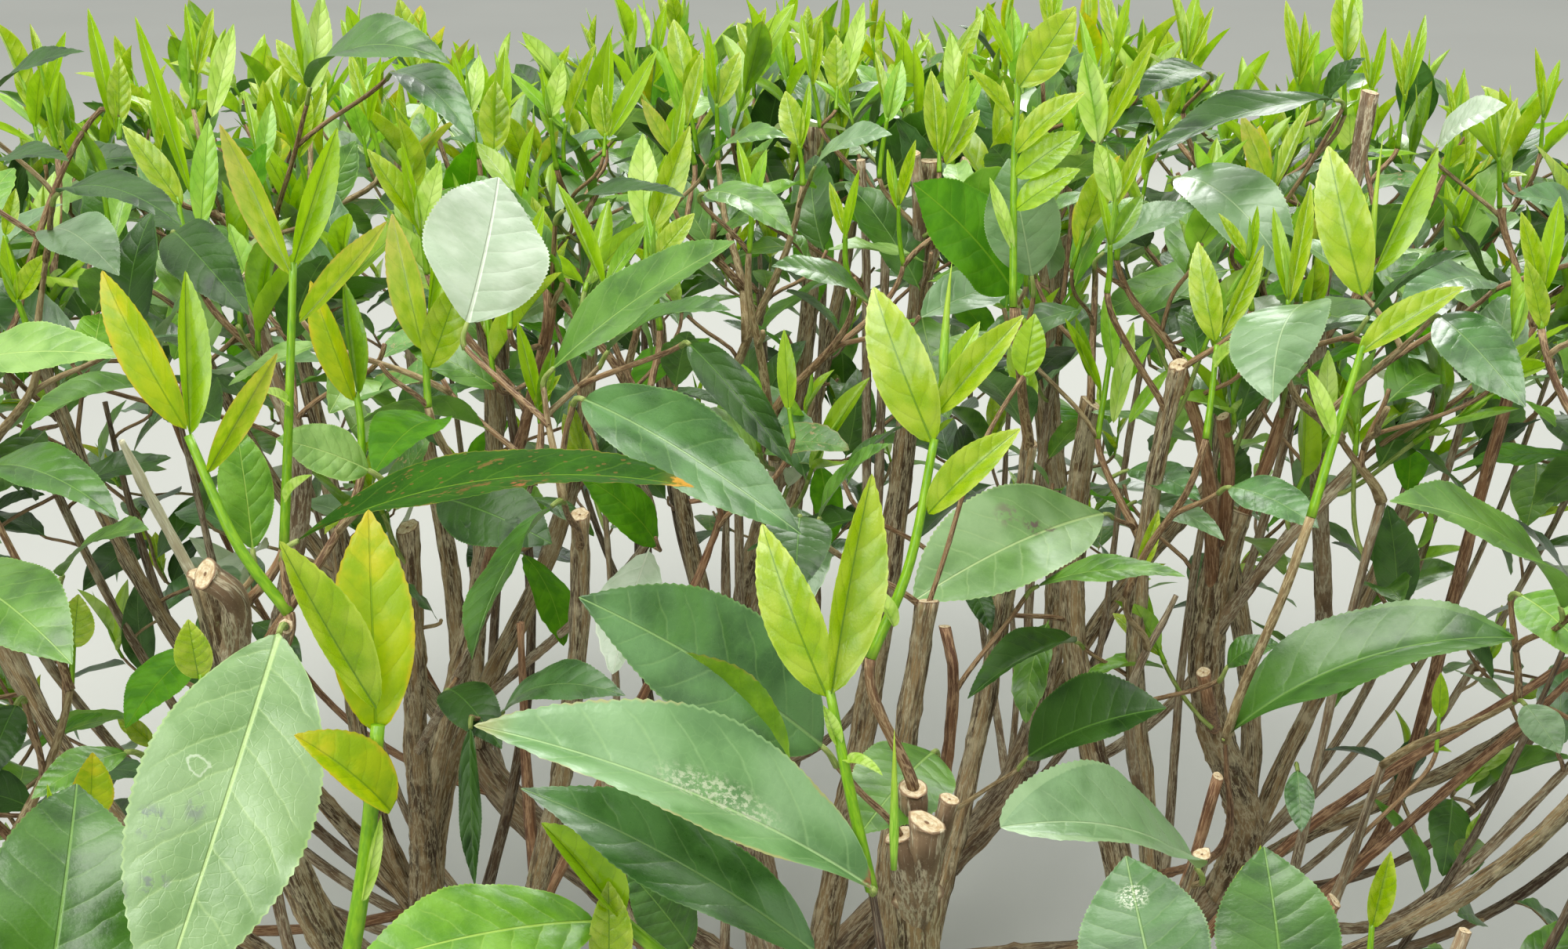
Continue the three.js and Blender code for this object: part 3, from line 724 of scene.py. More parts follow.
SHOWN_LEAVES = (
    # base (pixel x, y, depth), tip, width over length, towards the eye, roll, arch, kind
    ((356, 808, .53), (200, 1292, .45), .405, .80, -6, 34, MARKED, dict(wave=.012, fold=.14, quilt=.0007, curl=.03, a=1.0, b=.95)),
    ((52, 1330, .47), (98, 1000, .52), .54, .75, 10, 30, DEEP, dict(fold=.24, wave=.035, quilt=.0003)),
    ((-70, 470, .62), (156, 456, .60), .36, .35, 0, 30, PALE, {}),
    ((-60, 735, .62), (92, 848, .57), .42, .45, 0, 40, MID, {}),
    ((380, 690, .58), (886, 622, .555), .31, .40, -26, 40, OLIVE, dict(fold=.30, wave=.010, curl=.05)),
    ((1112, 1134, .50), (604, 926, .47), .38, .46, 10, 30, SCALY, dict(fold=.68, wave=.012, quilt=.0006, curl=.04)),
    ((1040, 1216, .50), (664, 1006, .49), .30, .44, 6, 28, TEAL, dict(fold=.34)),
    ((1048, 952, .57), (738, 762, .54), .48, .46, -10, 34, TEAL, dict(fold=.44, wave=.02)),
    ((1004, 984, .55), (848, 832, .545), .42, -.35, 30, 26, GREEN + 20, dict(fold=.85, wave=.01)),
    ((745, 510, .63), (1022, 682, .58), .33, .46, 14, 42, TEAL, dict(fold=.62)),
    ((706, 470, .66), (938, 308, .62), .36, .34, 4, 20, MID, dict(fold=.34, wave=.016)),
    ((596, 412, .67), (636, 226, .70), .74, .62, 24, 22, PAINTED_SHEEN, dict(fold=.10, wave=.04)),
    ((704, 646, .66), (602, 842, .62), .46, .30, 50, 30, DEEP, dict(fold=.30)),
    ((572, 880, .78), (640, 956, .74), .40, .55, 0, 60, DARK, {}),
    ((600, 930, .74), (606, 1132, .72), .16, .60, 20, 12, DARK, dict(fold=.5)),
    ((642, 908, .76), (798, 888, .72), .34, .34, 0, 70, TEAL, {}),
    ((1408, 656, .86), (1164, 768, .79), .46, .62, 6, 34, BRUISED, dict(fold=.42, wave=.014, a=1.15, b=.95)),
    ((1562, 942, .72), (1932, 814, .69), .38, .22, 0, 60, DEEP, dict(fold=.52, wave=.022, a=1.1, b=.9)),
    ((1566, 850, .80), (1632, 822, .79), .55, .4, 0, 80, DEEP, dict(fold=.3)),
    ((1990, 775, .66), (1772, 640, .60), .34, .34, 0, 46, MID, dict(fold=.26)),
    ((1372, 820, .90), (1234, 892, .84), .30, .24, 0, 40, DEEP, dict(fold=.9)),
    ((1526, 1108, .63), (1276, 1056, .57), .44, .42, 8, 44, SLATE_PAINTED_SHEEN, dict(fold=.50, b=.70, wave=.02)),
    ((1486, 1310, .50), (1436, 1092, .52), .78, .78, -14, 18, FLECKED, dict(fold=.12, wave=.02)),
    ((1640, 1310, .53), (1612, 1080, .55), .70, .62, 8, 30, DEEP, dict(fold=.12)),
    ((1655, 984, .86), (1660, 1062, .84), .42, .7, 0, 20, TEAL, {}),
    ((1570, 622, .74), (1682, 674, .70), .42, .45, 0, 40, TEAL, {}),
    ((1312, 966, .83), (1488, 904, .79), .66, .38, 0, 36, DARK, dict(fold=.60)),
    ((1664, 388, .76), (1624, 514, .72), .66, .70, 30, 66, SLATE_PAINTED_SHEEN, dict(fold=.22)),
    ((1292, 372, .85), (1164, 234, .82), .70, .62, 20, 30, BACKLIT, dict(fold=.16, wave=.04)),
    ((1316, 352, .81), (1286, 202, .795), .62, .70, 0, 40, SLATE_PAINTED_SHEEN, dict(fold=.2)),
    ((1408, 322, .86), (1532, 262, .84), .40, .36, 0, 40, SLATE_PAINTED_SHEEN, dict(fold=.3)),
    ((1504, 226, .88), (1648, 364, .83), .42, .46, 0, 84, SLATE_PAINTED_SHEEN, dict(fold=.3)),
    ((1834, 186, .94), (1922, 134, .90), .55, .46, 0, 50, PAINTED_SHEEN, {}),
    ((1690, 132, 1.02), (1742, 74, 1.0), .50, .34, 0, 60, DARK, {}),
    ((1540, 92, 1.02), (1452, 126, .98), .40, .3, 0, 50, DARK, {}),
    ((1702, 128, .86), (1458, 202, .82), .25, .18, 0, 30, DARK, dict(fold=.4)),
    ((760, 1176, .50), (448, 1236, .45), .42, .42, 0, 26, LIGHT, dict(fold=.14, quilt=.0007)),
    ((560, 634, .70), (704, 694, .68), .60, .56, 0, 30, DARK, dict(fold=.18, wave=.02)),
    ((396, 112, .88), (574, 82, .84), .42, .34, 0, 84, DEEP, dict(fold=.34)),
    ((502, 92, .88), (606, 182, .84), .32, .34, 0, 60, TEAL, dict(fold=.34)),
    ((76, 246, .72), (232, 288, .68), .30, .22, 0, 50, DARK, {}),
    ((-30, 226, .74), (88, 206, .70), .30, .2, 0, 40, DARK, {}),
    ((470, 600, .62), (352, 560, .60), .60, .55, 0, 30, PALE, dict(fold=.2)),
    ((322, 700, .62), (300, 540, .62), .42, .60, 10, 24, LIGHT, dict(fold=.2)),
    ((880, 440, .70), (1012, 596, .66), .24, .30, 20, 46, DARK, dict(fold=.5)),
    ((1046, 660, .72), (1136, 566, .70), .42, .30, -20, 34, MID, dict(fold=.4)),
    ((-20, 596, .62), (152, 664, .58), .30, .24, 0, 46, DEEP, dict(fold=.35)),
    ((80, 735, .66), (190, 676, .62), .34, .3, 0, 40, MID, {}),
    ((1324, 748, .80), (1512, 736, .76), .26, .22, 0, 40, MID, {}),
    ((1900, 360, .80), (1786, 392, .76), .40, .4, 0, 50, TEAL, {}),
    ((1836, 404, .78), (1946, 520, .72), .36, .5, 12, 40, TEAL, dict(fold=.25)),
    ((1746, 404, .74), (1874, 320, .70), .34, .22, 0, 26, DARK, dict(fold=.4)),
    ((720, 268, .78), (874, 252, .74), .26, .16, 0, 40, DARK, dict(fold=.35)),
    ((776, 448, .74), (932, 396, .70), .32, .22, 0, 46, DEEP, dict(fold=.35)),
    ((900, 246, .86), (1012, 302, .82), .34, .34, 0, 56, MID, {}),
    ((1040, 212, .92), (1138, 172, .88), .42, .4, 0, 50, SLATE_PAINTED_SHEEN, {}),
    ((902, 210, .94), (1006, 176, .90), .36, .3, 0, 60, MID, {}),
    ((222, 296, .74), (318, 402, .70), .36, .4, 20, 60, DARK, {}),
    ((66, 292, .76), (152, 352, .72), .42, .5, 0, 50, SLATE_PAINTED_SHEEN, {}),
    ((-20, 140, .82), (108, 66, .80), .36, .25, 0, 50, DARK, {}),
    ((1946, 900, .72), (1990, 962, .70), .60, .6, 0, 30, SLATE_PAINTED_SHEEN, {}),
    ((2040, 300, .80), (1930, 250, .78), .44, .4, 0, 50, TEAL, {}),
    ((1440, 600, .90), (1532, 640, .86), .40, .4, 0, 50, TEAL, {}),
    ((1450, 640, .90), (1562, 690, .86), .30, .34, 0, 50, SLATE_PAINTED_SHEEN, {}),
    ((1110, 386, .84), (984, 340, .80), .40, .34, 0, 40, DEEP, {}),
    ((1020, 660, .66), (1014, 760, .62), .5, .5, 0, 50, DARK, {}),
    ((20, 900, .62), (-20, 1000, .60), .5, .5, 0, 40, DARK, {}),
    ((160, 960, .60), (40, 1020, .57), .40, .34, 0, 40, MID, {}),
    ((250, 830, .64), (160, 930, .60), .40, .3, 0, 40, BACKLIT, {}),
    ((560, 540, .70), (476, 606, .64), .40, .3, 0, 50, BACKLIT, dict(fold=.4)),
    ((600, 640, .70), (660, 690, .68), .66, .6, 0, 40, DARK, {}),
    ((1236, 742, .89), (1264, 806, .87), .40, .4, 0, 40, DARK, {}),
    ((1190, 960, .66), (1096, 1066, .60), .50, .62, 0, 30, MID, dict(fold=.12)),
    ((1940, 760, .70), (2040, 850, .66), .5, .5, 0, 40, LIGHT, {}),
    ((880, 1210, .56), (800, 1110, .55), .60, .6, 0, 30, DEEP, {}),
)
for base, tip, ratio, face, roll, arch, kind, more in SHOWN_LEAVES:
    into = young if kind >= 20 else mature
    into.append(shown(base, tip, ratio, face, roll, arch, kind % 20, **more))


# ------------------------------------------------------------------ flush shoots in the foreground
# Each: stem points (pixel x, y, depth), radius in mm, blades as (base, tip, ratio, towards the eye, roll, arch, fold, kind),
# and buds as (base, tip, radius in mm, kind).
SHOWN_SHOOTS = (
    (((440, 1260, .49), (466, 1100, .485), (482, 925, .48)), 2.7, (
        ((480, 936, .484), (470, 650, .490), .36, .86, 0, 34, .18, AMBER),
        ((480, 905, .479), (356, 690, .462), .31, .80, 24, -10, .52, LIME),
        ((498, 1036, .482), (375, 938, .470), .54, .50, 10, 34, .50, AMBER),
        ((462, 1150, .483), (486, 1040, .480), .16, .80, 20, 8, .80, MILKY)), ()),
    (((1112, 1136, .505), (1082, 1000, .50), (1058, 880, .50)), 1.9, (
        ((1056, 890, .500), (972, 668, .504), .31, .84, -16, 40, .24, LIME),
        ((1060, 886, .498), (1112, 604, .490), .29, .78, 30, -8, .60, LIME),
        ((1068, 950, .500), (1050, 900, .495), .34, .60, 0, 8, .80, MILKY),
        ((1078, 975, .500), (1126, 990, .490), .26, .40, 0, 60, .80, MILKY)),
        (((1140, 1110, .505), (1142, 930, .500), 1.6, MILKY),)),
    (((368, 782, .585), (300, 690, .58), (240, 556, .58)), 2.1, (
        ((238, 548, .578), (130, 345, .580), .25, .70, -20, 40, .34, AMBER),
        ((242, 556, .580), (236, 345, .575), .24, .78, 26, -6, .70, FRESH),
        ((264, 604, .580), (354, 450, .570), .22, .40, 40, -20, .80, GOLD)), ()),
    (((362, 700, .60), (368, 540, .595), (374, 335, .59)), 1.8, (
        ((372, 352, .590), (280, 158, .585), .22, .55, -30, -14, .62, GOLD),
        ((374, 338, .590), (430, 162, .580), .25, .74, 24, -10, .66, FRESH),
        ((382, 412, .592), (494, 282, .580), .21, .36, 30, -16, .70, GOLD),
        ((366, 520, .594), (330, 500, .585), .34, .40, 0, 60, .70, MILKY),
        ((366, 640, .596), (398, 606, .590), .30, .50, 0, 50, .70, MILKY)), ()),
    (((1110, 840, .600), (1160, 720, .60), (1192, 560, .60)), 2.0, (
        ((1190, 566, .600), (1114, 366, .606), .33, .92, -8, 58, .20, LIME),
        ((1196, 528, .600), (1306, 402, .590), .29, .44, 20, 34, .58, LIME),
        ((1184, 656, .600), (1302, 547, .590), .34, .40, 16, 34, .50, LIME),
        ((1140, 800, .600), (1108, 745, .592), .30, .5, 0, 30, .7, MILKY),
        ((1198, 500, .600), (1250, 410, .604), .26, .60, 10, 10, .5, FRESH)),
        (((1202, 500, .600), (1206, 334, .598), 1.9, FRESH),)),
    (((1672, 660, .68), (1705, 550, .68), (1742, 430, .68)), 2.0, (
        ((1738, 378, .680), (1694, 186, .686), .32, .90, -6, 56, .22, LIME),
        ((1752, 350, .680), (1834, 188, .676), .26, .62, 40, -10, .70, FRESH),
        ((1734, 452, .680), (1868, 366, .668), .32, .36, 12, 20, .50, LIME),
        ((1700, 560, .680), (1668, 470, .676), .26, .60, 0, 8, .7, MILKY)),
        (((1748, 372, .680), (1752, 170, .680), 1.7, FRESH),)),
    (((1538, 560, .76), (1546, 500, .76), (1552, 440, .76)), 1.6, (
        ((1550, 436, .760), (1528, 308, .764), .29, .84, -10, 44, .22, LIME),
        ((1556, 432, .760), (1612, 312, .756), .22, .60, 30, -8, .70, LIME),
        ((1552, 470, .760), (1596, 436, .750), .34, .40, 0, 60, .8, MILKY)), ()),
    (((1292, 392, .77), (1294, 200, .765), (1302, 70, .76), (1310, 30, .758)), 1.8, (
        ((1300, 112, .760), (1372, 8, .755), .46, .86, 10, 16, .16, LIME),
        ((1296, 196, .762), (1384, 118, .752), .34, .40, 10, 46, .40, LIME),
        ((1296, 226, .764), (1378, 168, .755), .44, .60, 10, 34, .26, FRESH),
        ((1296, 268, .766), (1378, 216, .756), .42, .56, 0, 34, .28, FRESH),
        ((1292, 150, .762), (1236, 88, .756), .26, .60, 0, 20, .60, LIME),
        ((1290, 80, .760), (1256, 10, .756), .24, .60, 0, 10, .60, FRESH),
        ((1292, 320, .768), (1262, 226, .762), .20, .70, 0, 6, .70, MILKY)), ()),
    (((546, 520, .70), (544, 480, .70), (542, 440, .70)), 1.7, (
        ((540, 448, .700), (500, 272, .698), .27, .66, -20, 10, .40, GOLD),
        ((548, 470, .700), (590, 350, .692), .42, .66, 14, 20, .30, LIME),
        ((546, 410, .700), (566, 262, .696), .19, .70, 30, -6, .70, FRESH)), ()),
    (((462, 600, .66), (460, 540, .66), (454, 500, .66)), 1.7, (
        ((452, 512, .660), (396, 358, .656), .27, .66, -24, 14, .50, AMBER),
        ((456, 506, .660), (438, 358, .655), .22, .66, 24, -6, .80, GREEN)), ()),
    (((860, 1232, .505), (800, 1180, .50), (764, 1150, .50)), 2.2, (
        ((790, 1172, .500), (690, 1050, .492), .42, .50, 10, 22, .66, FRESH),
        ((776, 1246, .500), (776, 1124, .495), .46, .70, 10, 20, .40, LIME)), ()),
    (((1306, 480, .74), (1316, 470, .74)), 1.1, (
        ((1306, 482, .740), (1320, 400, .736), .50, .86, 0, 14, .16, FRESH),), ()),
    (((1012, 560, .80), (1006, 520, .80)), 1.3, (
        ((1006, 524, .800), (1000, 420, .796), .24, .80, 0, 6, .30, FRESH),), ()),
    (((90, 880, .64), (94, 820, .64)), 1.3, (
        ((94, 826, .640), (100, 758, .634), .62, .80, 0, 20, .26, LIME),), ()),
    (((262, 900, .60), (256, 860, .60)), 1.3, (
        ((254, 866, .600), (240, 790, .594), .60, .80, -10, 20, .30, LIME),), ()),
    (((110, 1110, .56), (112, 1040, .56)), 1.4, (
        ((114, 1046, .560), (118, 960, .552), .56, .80, 10, 24, .34, AMBER),), ()),
    (((96, 1220, .52), (92, 1170, .52)), 1.3, (
        ((92, 1176, .520), (82, 1078, .515), .20, .80, 0, 6, .80, MILKY),
        ((96, 1170, .520), (60, 1000, .515), .12, .80, 0, 6, .80, FRESH)), ()),
    (((1580, 1260, .60), (1584, 1190, .60)), 1.5, (
        ((1582, 1198, .600), (1586, 1104, .594), .44, .84, 0, 12, .34, LIME),
        ((1588, 1200, .600), (1608, 1078, .596), .15, .80, 0, 6, .80, FRESH)), ()),
    (((1744, 1260, .64), (1750, 1180, .64)), 1.5, (
        ((1750, 1184, .640), (1774, 1086, .634), .34, .70, 10, -6, .70, LIME),), ()),
    (((1832, 960, .80), (1836, 910, .80)), 1.1, (
        ((1836, 916, .800), (1838, 858, .796), .36, .80, 0, 6, .50, FRESH),), ()),
    (((1436, 760, .82), (1450, 730, .82)), 1.3, (
        ((1450, 734, .820), (1478, 650, .815), .26, .70, 20, 6, .60, LIME),), ()),
    (((824, 340, .86), (824, 290, .86)), 1.5, (
        ((822, 296, .860), (820, 170, .856), .32, .86, -6, 12, .18, MILKY),
        ((828, 300, .860), (880, 160, .855), .28, .66, 20, 6, .50, LIME),
        ((826, 290, .860), (850, 196, .860), .16, .8, 0, 4, .8, FRESH)), ()),
    (((632, 230, .90), (632, 190, .90)), 1.4, (
        ((630, 196, .900), (632, 102, .896), .42, .86, 0, 12, .20, LIME),
        ((634, 180, .900), (644, 60, .900), .22, .80, 10, 4, .60, FRESH)), ()),
    (((152, 150, .84), (152, 180, .84), (154, 158, .84)), 1.4, (
        ((152, 160, .840), (152, 70, .836), .32, .86, 0, 8, .22, LIME),
        ((148, 170, .840), (112, 10, .838), .14, .80, 0, 4, .70, FRESH)), ()),
    (((262, 380, .80), (236, 300, .80), (226, 250, .80)), 1.6, (
        ((232, 262, .800), (156, 160, .794), .30, .60, 0, 16, .34, LIME),
        ((256, 290, .800), (266, 150, .796), .24, .86, 0, 8, .24, SOFT),
        ((244, 250, .800), (172, 20, .798), .10, .80, 0, 4, .80, FRESH),
        ((270, 150, .800), (298, 30, .798), .24, .80, 0, 6, .40, MILKY)), ()),
    (((1400, 560, .90), (1412, 480, .90), (1420, 420, .90)), 1.7, (
        ((1420, 470, .900), (1410, 372, .896), .26, .70, 0, 8, .60, SOFT),
        ((1428, 500, .900), (1470, 430, .896), .24, .60, 0, 10, .60, SOFT),
        ((1404, 500, .900), (1358, 406, .896), .16, .60, 0, 8, .80, FRESH),
        ((1440, 540, .900), (1492, 470, .896), .22, .60, 0, 10, .60, SOFT),
        ((1390, 480, .900), (1372, 404, .896), .22, .60, 0, 10, .60, GREEN),
        ((1420, 540, .900), (1446, 410, .896), .20, .60, 0, 10, .60, MILKY)), ()),
    (((690, 540, .74), (684, 500, .74)), 1.4, (
        ((686, 520, .740), (660, 410, .736), .20, .70, 0, 6, .70, FRESH),
        ((690, 530, .740), (706, 440, .736), .24, .66, 0, 8, .66, GREEN),
        ((684, 520, .740), (716, 478, .736), .30, .60, 0, 30, .60, LIME)), ()),
    (((650, 420, .78), (652, 380, .78)), 1.4, (
        ((650, 392, .780), (632, 310, .776), .26, .70, 0, 6, .60, MILKY),
        ((654, 392, .780), (694, 262, .776), .22, .66, 0, 8, .60, FRESH)), ()),
    (((1700, 540, .84), (1692, 500, .84)), 1.2, (
        ((1692, 540, .840), (1694, 446, .836), .30, .80, 0, 8, .60, MILKY),), ()),
    (((1966, 420, .74), (1968, 360, .74)), 1.6, (
        ((1966, 372, .740), (1940, 270, .736), .26, .66, 0, 6, .60, LIME),
        ((1970, 372, .740), (1990, 250, .736), .24, .66, 0, 8, .60, FRESH),
        ((1968, 420, .740), (1946, 330, .734), .30, .60, 0, 20, .40, LIME)), ()),
    (((770, 200, .98), (772, 170, .98)), 1.2, (
        ((772, 176, .980), (762, 108, .976), .40, .86, 0, 8, .30, LIME),
        ((776, 176, .980), (838, 64, .976), .20, .70, 0, 4, .50, FRESH),
        ((774, 170, .980), (778, 40, .978), .12, .80, 0, 4, .80, FRESH)), ()),
    (((1066, 140, 1.02), (1068, 110, 1.02)), 1.2, (
        ((1068, 116, 1.02), (1066, 44, 1.016), .44, .86, 0, 8, .22, LIME),
        ((1076, 110, 1.02), (1102, 2, 1.016), .24, .70, 0, 4, .50, MILKY)), ()),
    (((1198, 220, .96), (1198, 190, .96)), 1.4, (
        ((1196, 196, .96), (1188, 90, .956), .30, .70, 0, 6, .50, LIME),
        ((1202, 200, .96), (1236, 96, .956), .26, .60, 0, 8, .60, FRESH),
        ((1206, 210, .96), (1250, 140, .956), .34, .60, 0, 14, .40, LIME)), ()),
)
TABLE_SHOOTS = (
    # head of the shoot (pixel x, y), its height in metres, blades as (tip x, y, width over length, fold, kind)
    (203, 191, .672, ((198, 99, .12, .8, FRESH), (214, 120, .14, .7, LIME))),
    (249, 193, .668, ((175, 124, .26, .4, LIME),)),
    (394, 110, .690, ((352, 50, .34, .35, LIME), (372, -12, .18, .6, FRESH), (410, -10, .26, .35, MILKY))),
    (380, 190, .664, ((396, 122, .36, .25, LIME), (346, 100, .13, .8, FRESH), (416, 104, .20, .6, LIME))),
    (530, 92, .694, ((508, -4, .36, .30, LIME), (542, 14, .16, .7, FRESH))),
    (600, 142, .680, ((576, 60, .12, .8, FRESH), (612, 70, .30, .25, MILKY))),
    (702, 150, .676, ((718, 76, .32, .2, MILKY), (690, 82, .13, .8, FRESH))),
    (722, 158, .672, ((760, 56, .17, .8, LIME), (650, 92, .17, .6, SOFT))),
    (874, 160, .674, ((842, 57, .12, .7, SOFT), (896, 66, .21, .6, LIME))),
    (914, 132, .680, ((903, 33, .14, .7, FRESH), (944, 66, .36, .3, LIME))),
    (858, 196, .664, ((818, 126, .27, .35, GOLD), (872, 120, .15, .7, FRESH))),
    (834, 330, .654, ((886, 272, .38, .25, LIME), (822, 262, .14, .7, SOFT))),
    (772, 362, .650, ((824, 288, .22, .6, SOFT), (711, 234, .16, .8, FRESH))),
    (538, 292, .652, ((468, 190, .30, .45, LIME), (562, 204, .32, .3, MILKY), (512, 180, .12, .8, FRESH))),
    (664, 254, .660, ((608, 182, .30, .45, MILKY), (682, 158, .16, .75, FRESH))),
    (22, 382, .640, ((58, 324, .38, .4, LIME), (4, 300, .2, .6, FRESH))),
    (6, 300, .650, ((20, 240, .3, .5, LIME),)),
    (60, 120, .690, ((38, 30, .16, .7, LIME), (84, 40, .18, .6, FRESH))),
    (250, 90, .690, ((236, 4, .14, .7, FRESH), (272, 10, .2, .5, LIME))),
    (330, 210, .664, ((312, 118, .15, .7, FRESH), (346, 128, .24, .4, SOFT))),
    (470, 150, .676, ((446, 66, .18, .6, LIME), (486, 72, .15, .7, FRESH))),
    (1019, 186, .668, ((1002, 116, .42, .3, LIME), (1032, 104, .14, .7, FRESH))),
    (1036, 104, .690, ((1022, 18, .13, .7, FRESH), (1048, 22, .14, .7, LIME))),
    (1132, 150, .676, ((1116, 66, .16, .6, LIME), (1150, 76, .3, .3, SOFT))),
    (1222, 150, .676, ((1212, 40, .26, .25, MILKY), (1256, 86, .24, .4, SOFT), (1234, 54, .14, .7, LIME))),
    (1402, 172, .670, ((1376, 12, .11, .7, SOFT), (1474, 46, .16, .6, LIME), (1384, 62, .30, .2, MILKY))),
    (1512, 74, .696, ((1492, -22, .17, .6, LIME), (1528, -12, .2, .5, FRESH), (1548, 8, .14, .7, LIME))),
    (1424, 66, .696, ((1404, -22, .2, .4, LIME), (1442, -12, .16, .5, FRESH))),
    (1338, 40, .704, ((1330, -40, .2, .5, LIME), (1356, -36, .16, .6, FRESH))),
    (1622, 242, .660, ((1583, 146, .27, .30, GOLD), (1672, 132, .17, .6, LIME))),
    (1656, 98, .690, ((1640, 0, .17, .6, LIME), (1684, 38, .17, .6, FRESH), (1664, 14, .14, .7, LIME))),
    (1716, 78, .692, ((1712, -14, .36, .4, LIME), (1732, -22, .2, .6, FRESH))),
    (1792, 120, .684, ((1818, 18, .14, .7, FRESH), (1774, 48, .15, .6, LIME), (1798, 38, .12, .7, LIME))),
    (1748, 112, .686, ((1736, 40, .13, .7, LIME), (1768, 34, .14, .7, FRESH))),
    (1856, 158, .674, ((1868, 86, .12, .7, FRESH), (1844, 98, .12, .7, LIME))),
    (1643, 382, .640, ((1624, 264, .17, .5, FRESH), (1672, 234, .16, .7, LIME))),
    (1422, 258, .660, ((1398, 182, .42, .2, MILKY), (1464, 170, .19, .6, LIME))),
    (1416, 312, .654, ((1458, 248, .30, .5, GREEN), (1400, 236, .14, .7, FRESH))),
    (1592, 332, .650, ((1554, 272, .22, .6, LIME), (1604, 262, .16, .7, FRESH))),
    (1912, 200, .668, ((1896, 112, .15, .7, FRESH), (1936, 124, .2, .5, LIME))),
    (1968, 150, .676, ((1958, 60, .14, .7, LIME), (1990, 76, .18, .6, FRESH))),
    (958, 262, .656, ((940, 178, .16, .7, FRESH), (978, 190, .22, .5, SOFT))),
    (1078, 300, .652, ((1058, 232, .2, .6, LIME), (1096, 216, .14, .7, FRESH))),
    (1146, 262, .656, ((1168, 178, .18, .6, LIME), (1132, 190, .14, .7, FRESH))),
)


def table_depth(py, height):
    """How far ahead the level plane of that height is met at a pixel's row."""
    return (height - EYE[2]) / (AHEAD[2] - (py - 605.5) / FOCAL * ABOVE[2])


def shut(ratio, fold):
    """Young blades stand nearly shut along the midrib: a deeper fold, with the width that is seen kept."""
    if fold < .3:
        return ratio, fold * 1.2
    deep = min(fold * 1.42, 1.12)
    return ratio * math.cos(fold) / math.cos(deep) * .94, deep


hooks = []                           # (place, direction of growth there, radius, tone): ends that need wood
for line, r, blades, spears in SHOWN_SHOOTS:
    pts = [at(*q) for q in line]
    path = through(pts, 14)
    shoot_stems.append((path, r * MM, r * MM * 0.72))
    hooks.append((path[0], unit(path[1] - path[0]), r * MM, 0))
    for base, tip, ratio, face, roll, arch, fold, kind in blades:
        ratio, deep = shut(ratio, fold)
        young.append(shown(base, tip, ratio, face, roll, arch, kind, deep, a=.82, b=1.0, quilt=.0007 if fold < .3 else .0002,
                           pleats=7, wave=.006, tooth=.02))
    for base, tip, wide, kind in spears:
        p, q = at(*base), at(*tip)
        buds.append((p, unit(q - p), float(np.linalg.norm(q - p)), wide * MM, RNG.uniform(-.1, .1), kind))
for px, py, height, blades in TABLE_SHOOTS:
    depth = table_depth(py, height)
    head = at(px, py, depth)
    foot = head - np.array((RNG.uniform(-.006, .006), RNG.uniform(-.004, .004), RNG.uniform(.020, .034)))
    path = through([foot, (foot + head) / 2 + RNG.normal(size=3) * 0.0006, head], 14)
    r = RNG.uniform(1.3, 1.7)
    shoot_stems.append((path, r * MM, r * MM * 0.75))
    hooks.append((path[0], unit(path[1] - path[0]), r * MM, 0))
    for k, (tx, ty, ratio, fold, kind) in enumerate(blades):
        near_by = depth + RNG.uniform(-.014, .010)
        start = (px + (tx - px) * 0.03, py + 6 * k, depth)
        wide, deep = shut(ratio * 1.10, max(fold, .32))
        young.append(shown(start, (tx, ty, near_by), wide, .80 if fold < .45 else .62, RNG.uniform(-24, 24), RNG.uniform(-6, 16), kind,
                           deep, a=.82, b=1.0, quilt=.0003 if fold < .45 else .0001, pleats=7, wave=.006, tooth=.02, twist=RNG.uniform(-.15, .15)))
    if RNG.uniform() < .7:
        way = unit(head - foot + RNG.normal(size=3) * 0.0016)
        buds.append((head, way, RNG.uniform(.018, .030), RNG.uniform(.0011, .0016), RNG.uniform(-.1, .1), FRESH))
for d in mature:
    hooks.append((d["base"], unit(d["along"]), 0.0012, 1))
print("shown blades", len(mature), len(young))

# the frame's cells that something in the foreground fills, with its depth
CELLS = (64, 104)
near = np.full(CELLS, 9.0)


def mark(points, depths=None):
    px, py, d = seen(points)
    col, row = (px / 20).astype(int) + 2, (py / 20).astype(int) + 2
    ok = (col >= 0) & (col < CELLS[1]) & (row >= 0) & (row < CELLS[0])
    np.minimum.at(near, (row[ok], col[ok]), d[ok])


for group in (mature, young):
    v, *_ = leaf_sheets(group, 20, 6)
    mark(v.reshape(-1, 3))
for path, *_ in shoot_stems:
    mark(path)
for path, r0, r1, cut, tone in canes[:28]:
    if cut:
        mark(path[-6:])
for name in ("stem_front_1", "stem_front_2", "stem_left_front_1", "stem_right_1", "stem_right_2", "stem_left_1"):
    mark(limb_data[name][0][-18:])
wide = near.copy()
for dy in (-1, 0, 1):
    for dx in (-1, 0, 1):
        wide = np.minimum(wide, np.roll(np.roll(near, dy, 0), dx, 1))
near = wide


def hides(points, slack=0.02):
    """True where a point would stand in front of the foreground, or in the part of the view that is open."""
    px, py, d = seen(points)
    col = np.clip((px / 20).astype(int) + 2, 0, CELLS[1] - 1)
    row = np.clip((py / 20).astype(int) + 2, 0, CELLS[0] - 1)
    inside = (px > -30) & (px < 2030) & (py > -40) & (py < 1225) & (d > 0.02)
    front = inside & (d < near[row, col] + slack) & (near[row, col] < 5)
    close = inside & (d < 0.60)
    open_below = inside & (py > 560) & (d < 0.86)
    return front | close | open_below


# ------------------------------------------------------------------ growth
ROOM = 40000
NP, NT = np.zeros((ROOM, 3)), np.zeros((ROOM, 3))
NR, NLOAD, NOWN = np.zeros(ROOM), np.zeros(ROOM), np.full(ROOM, -1)
filled = 0


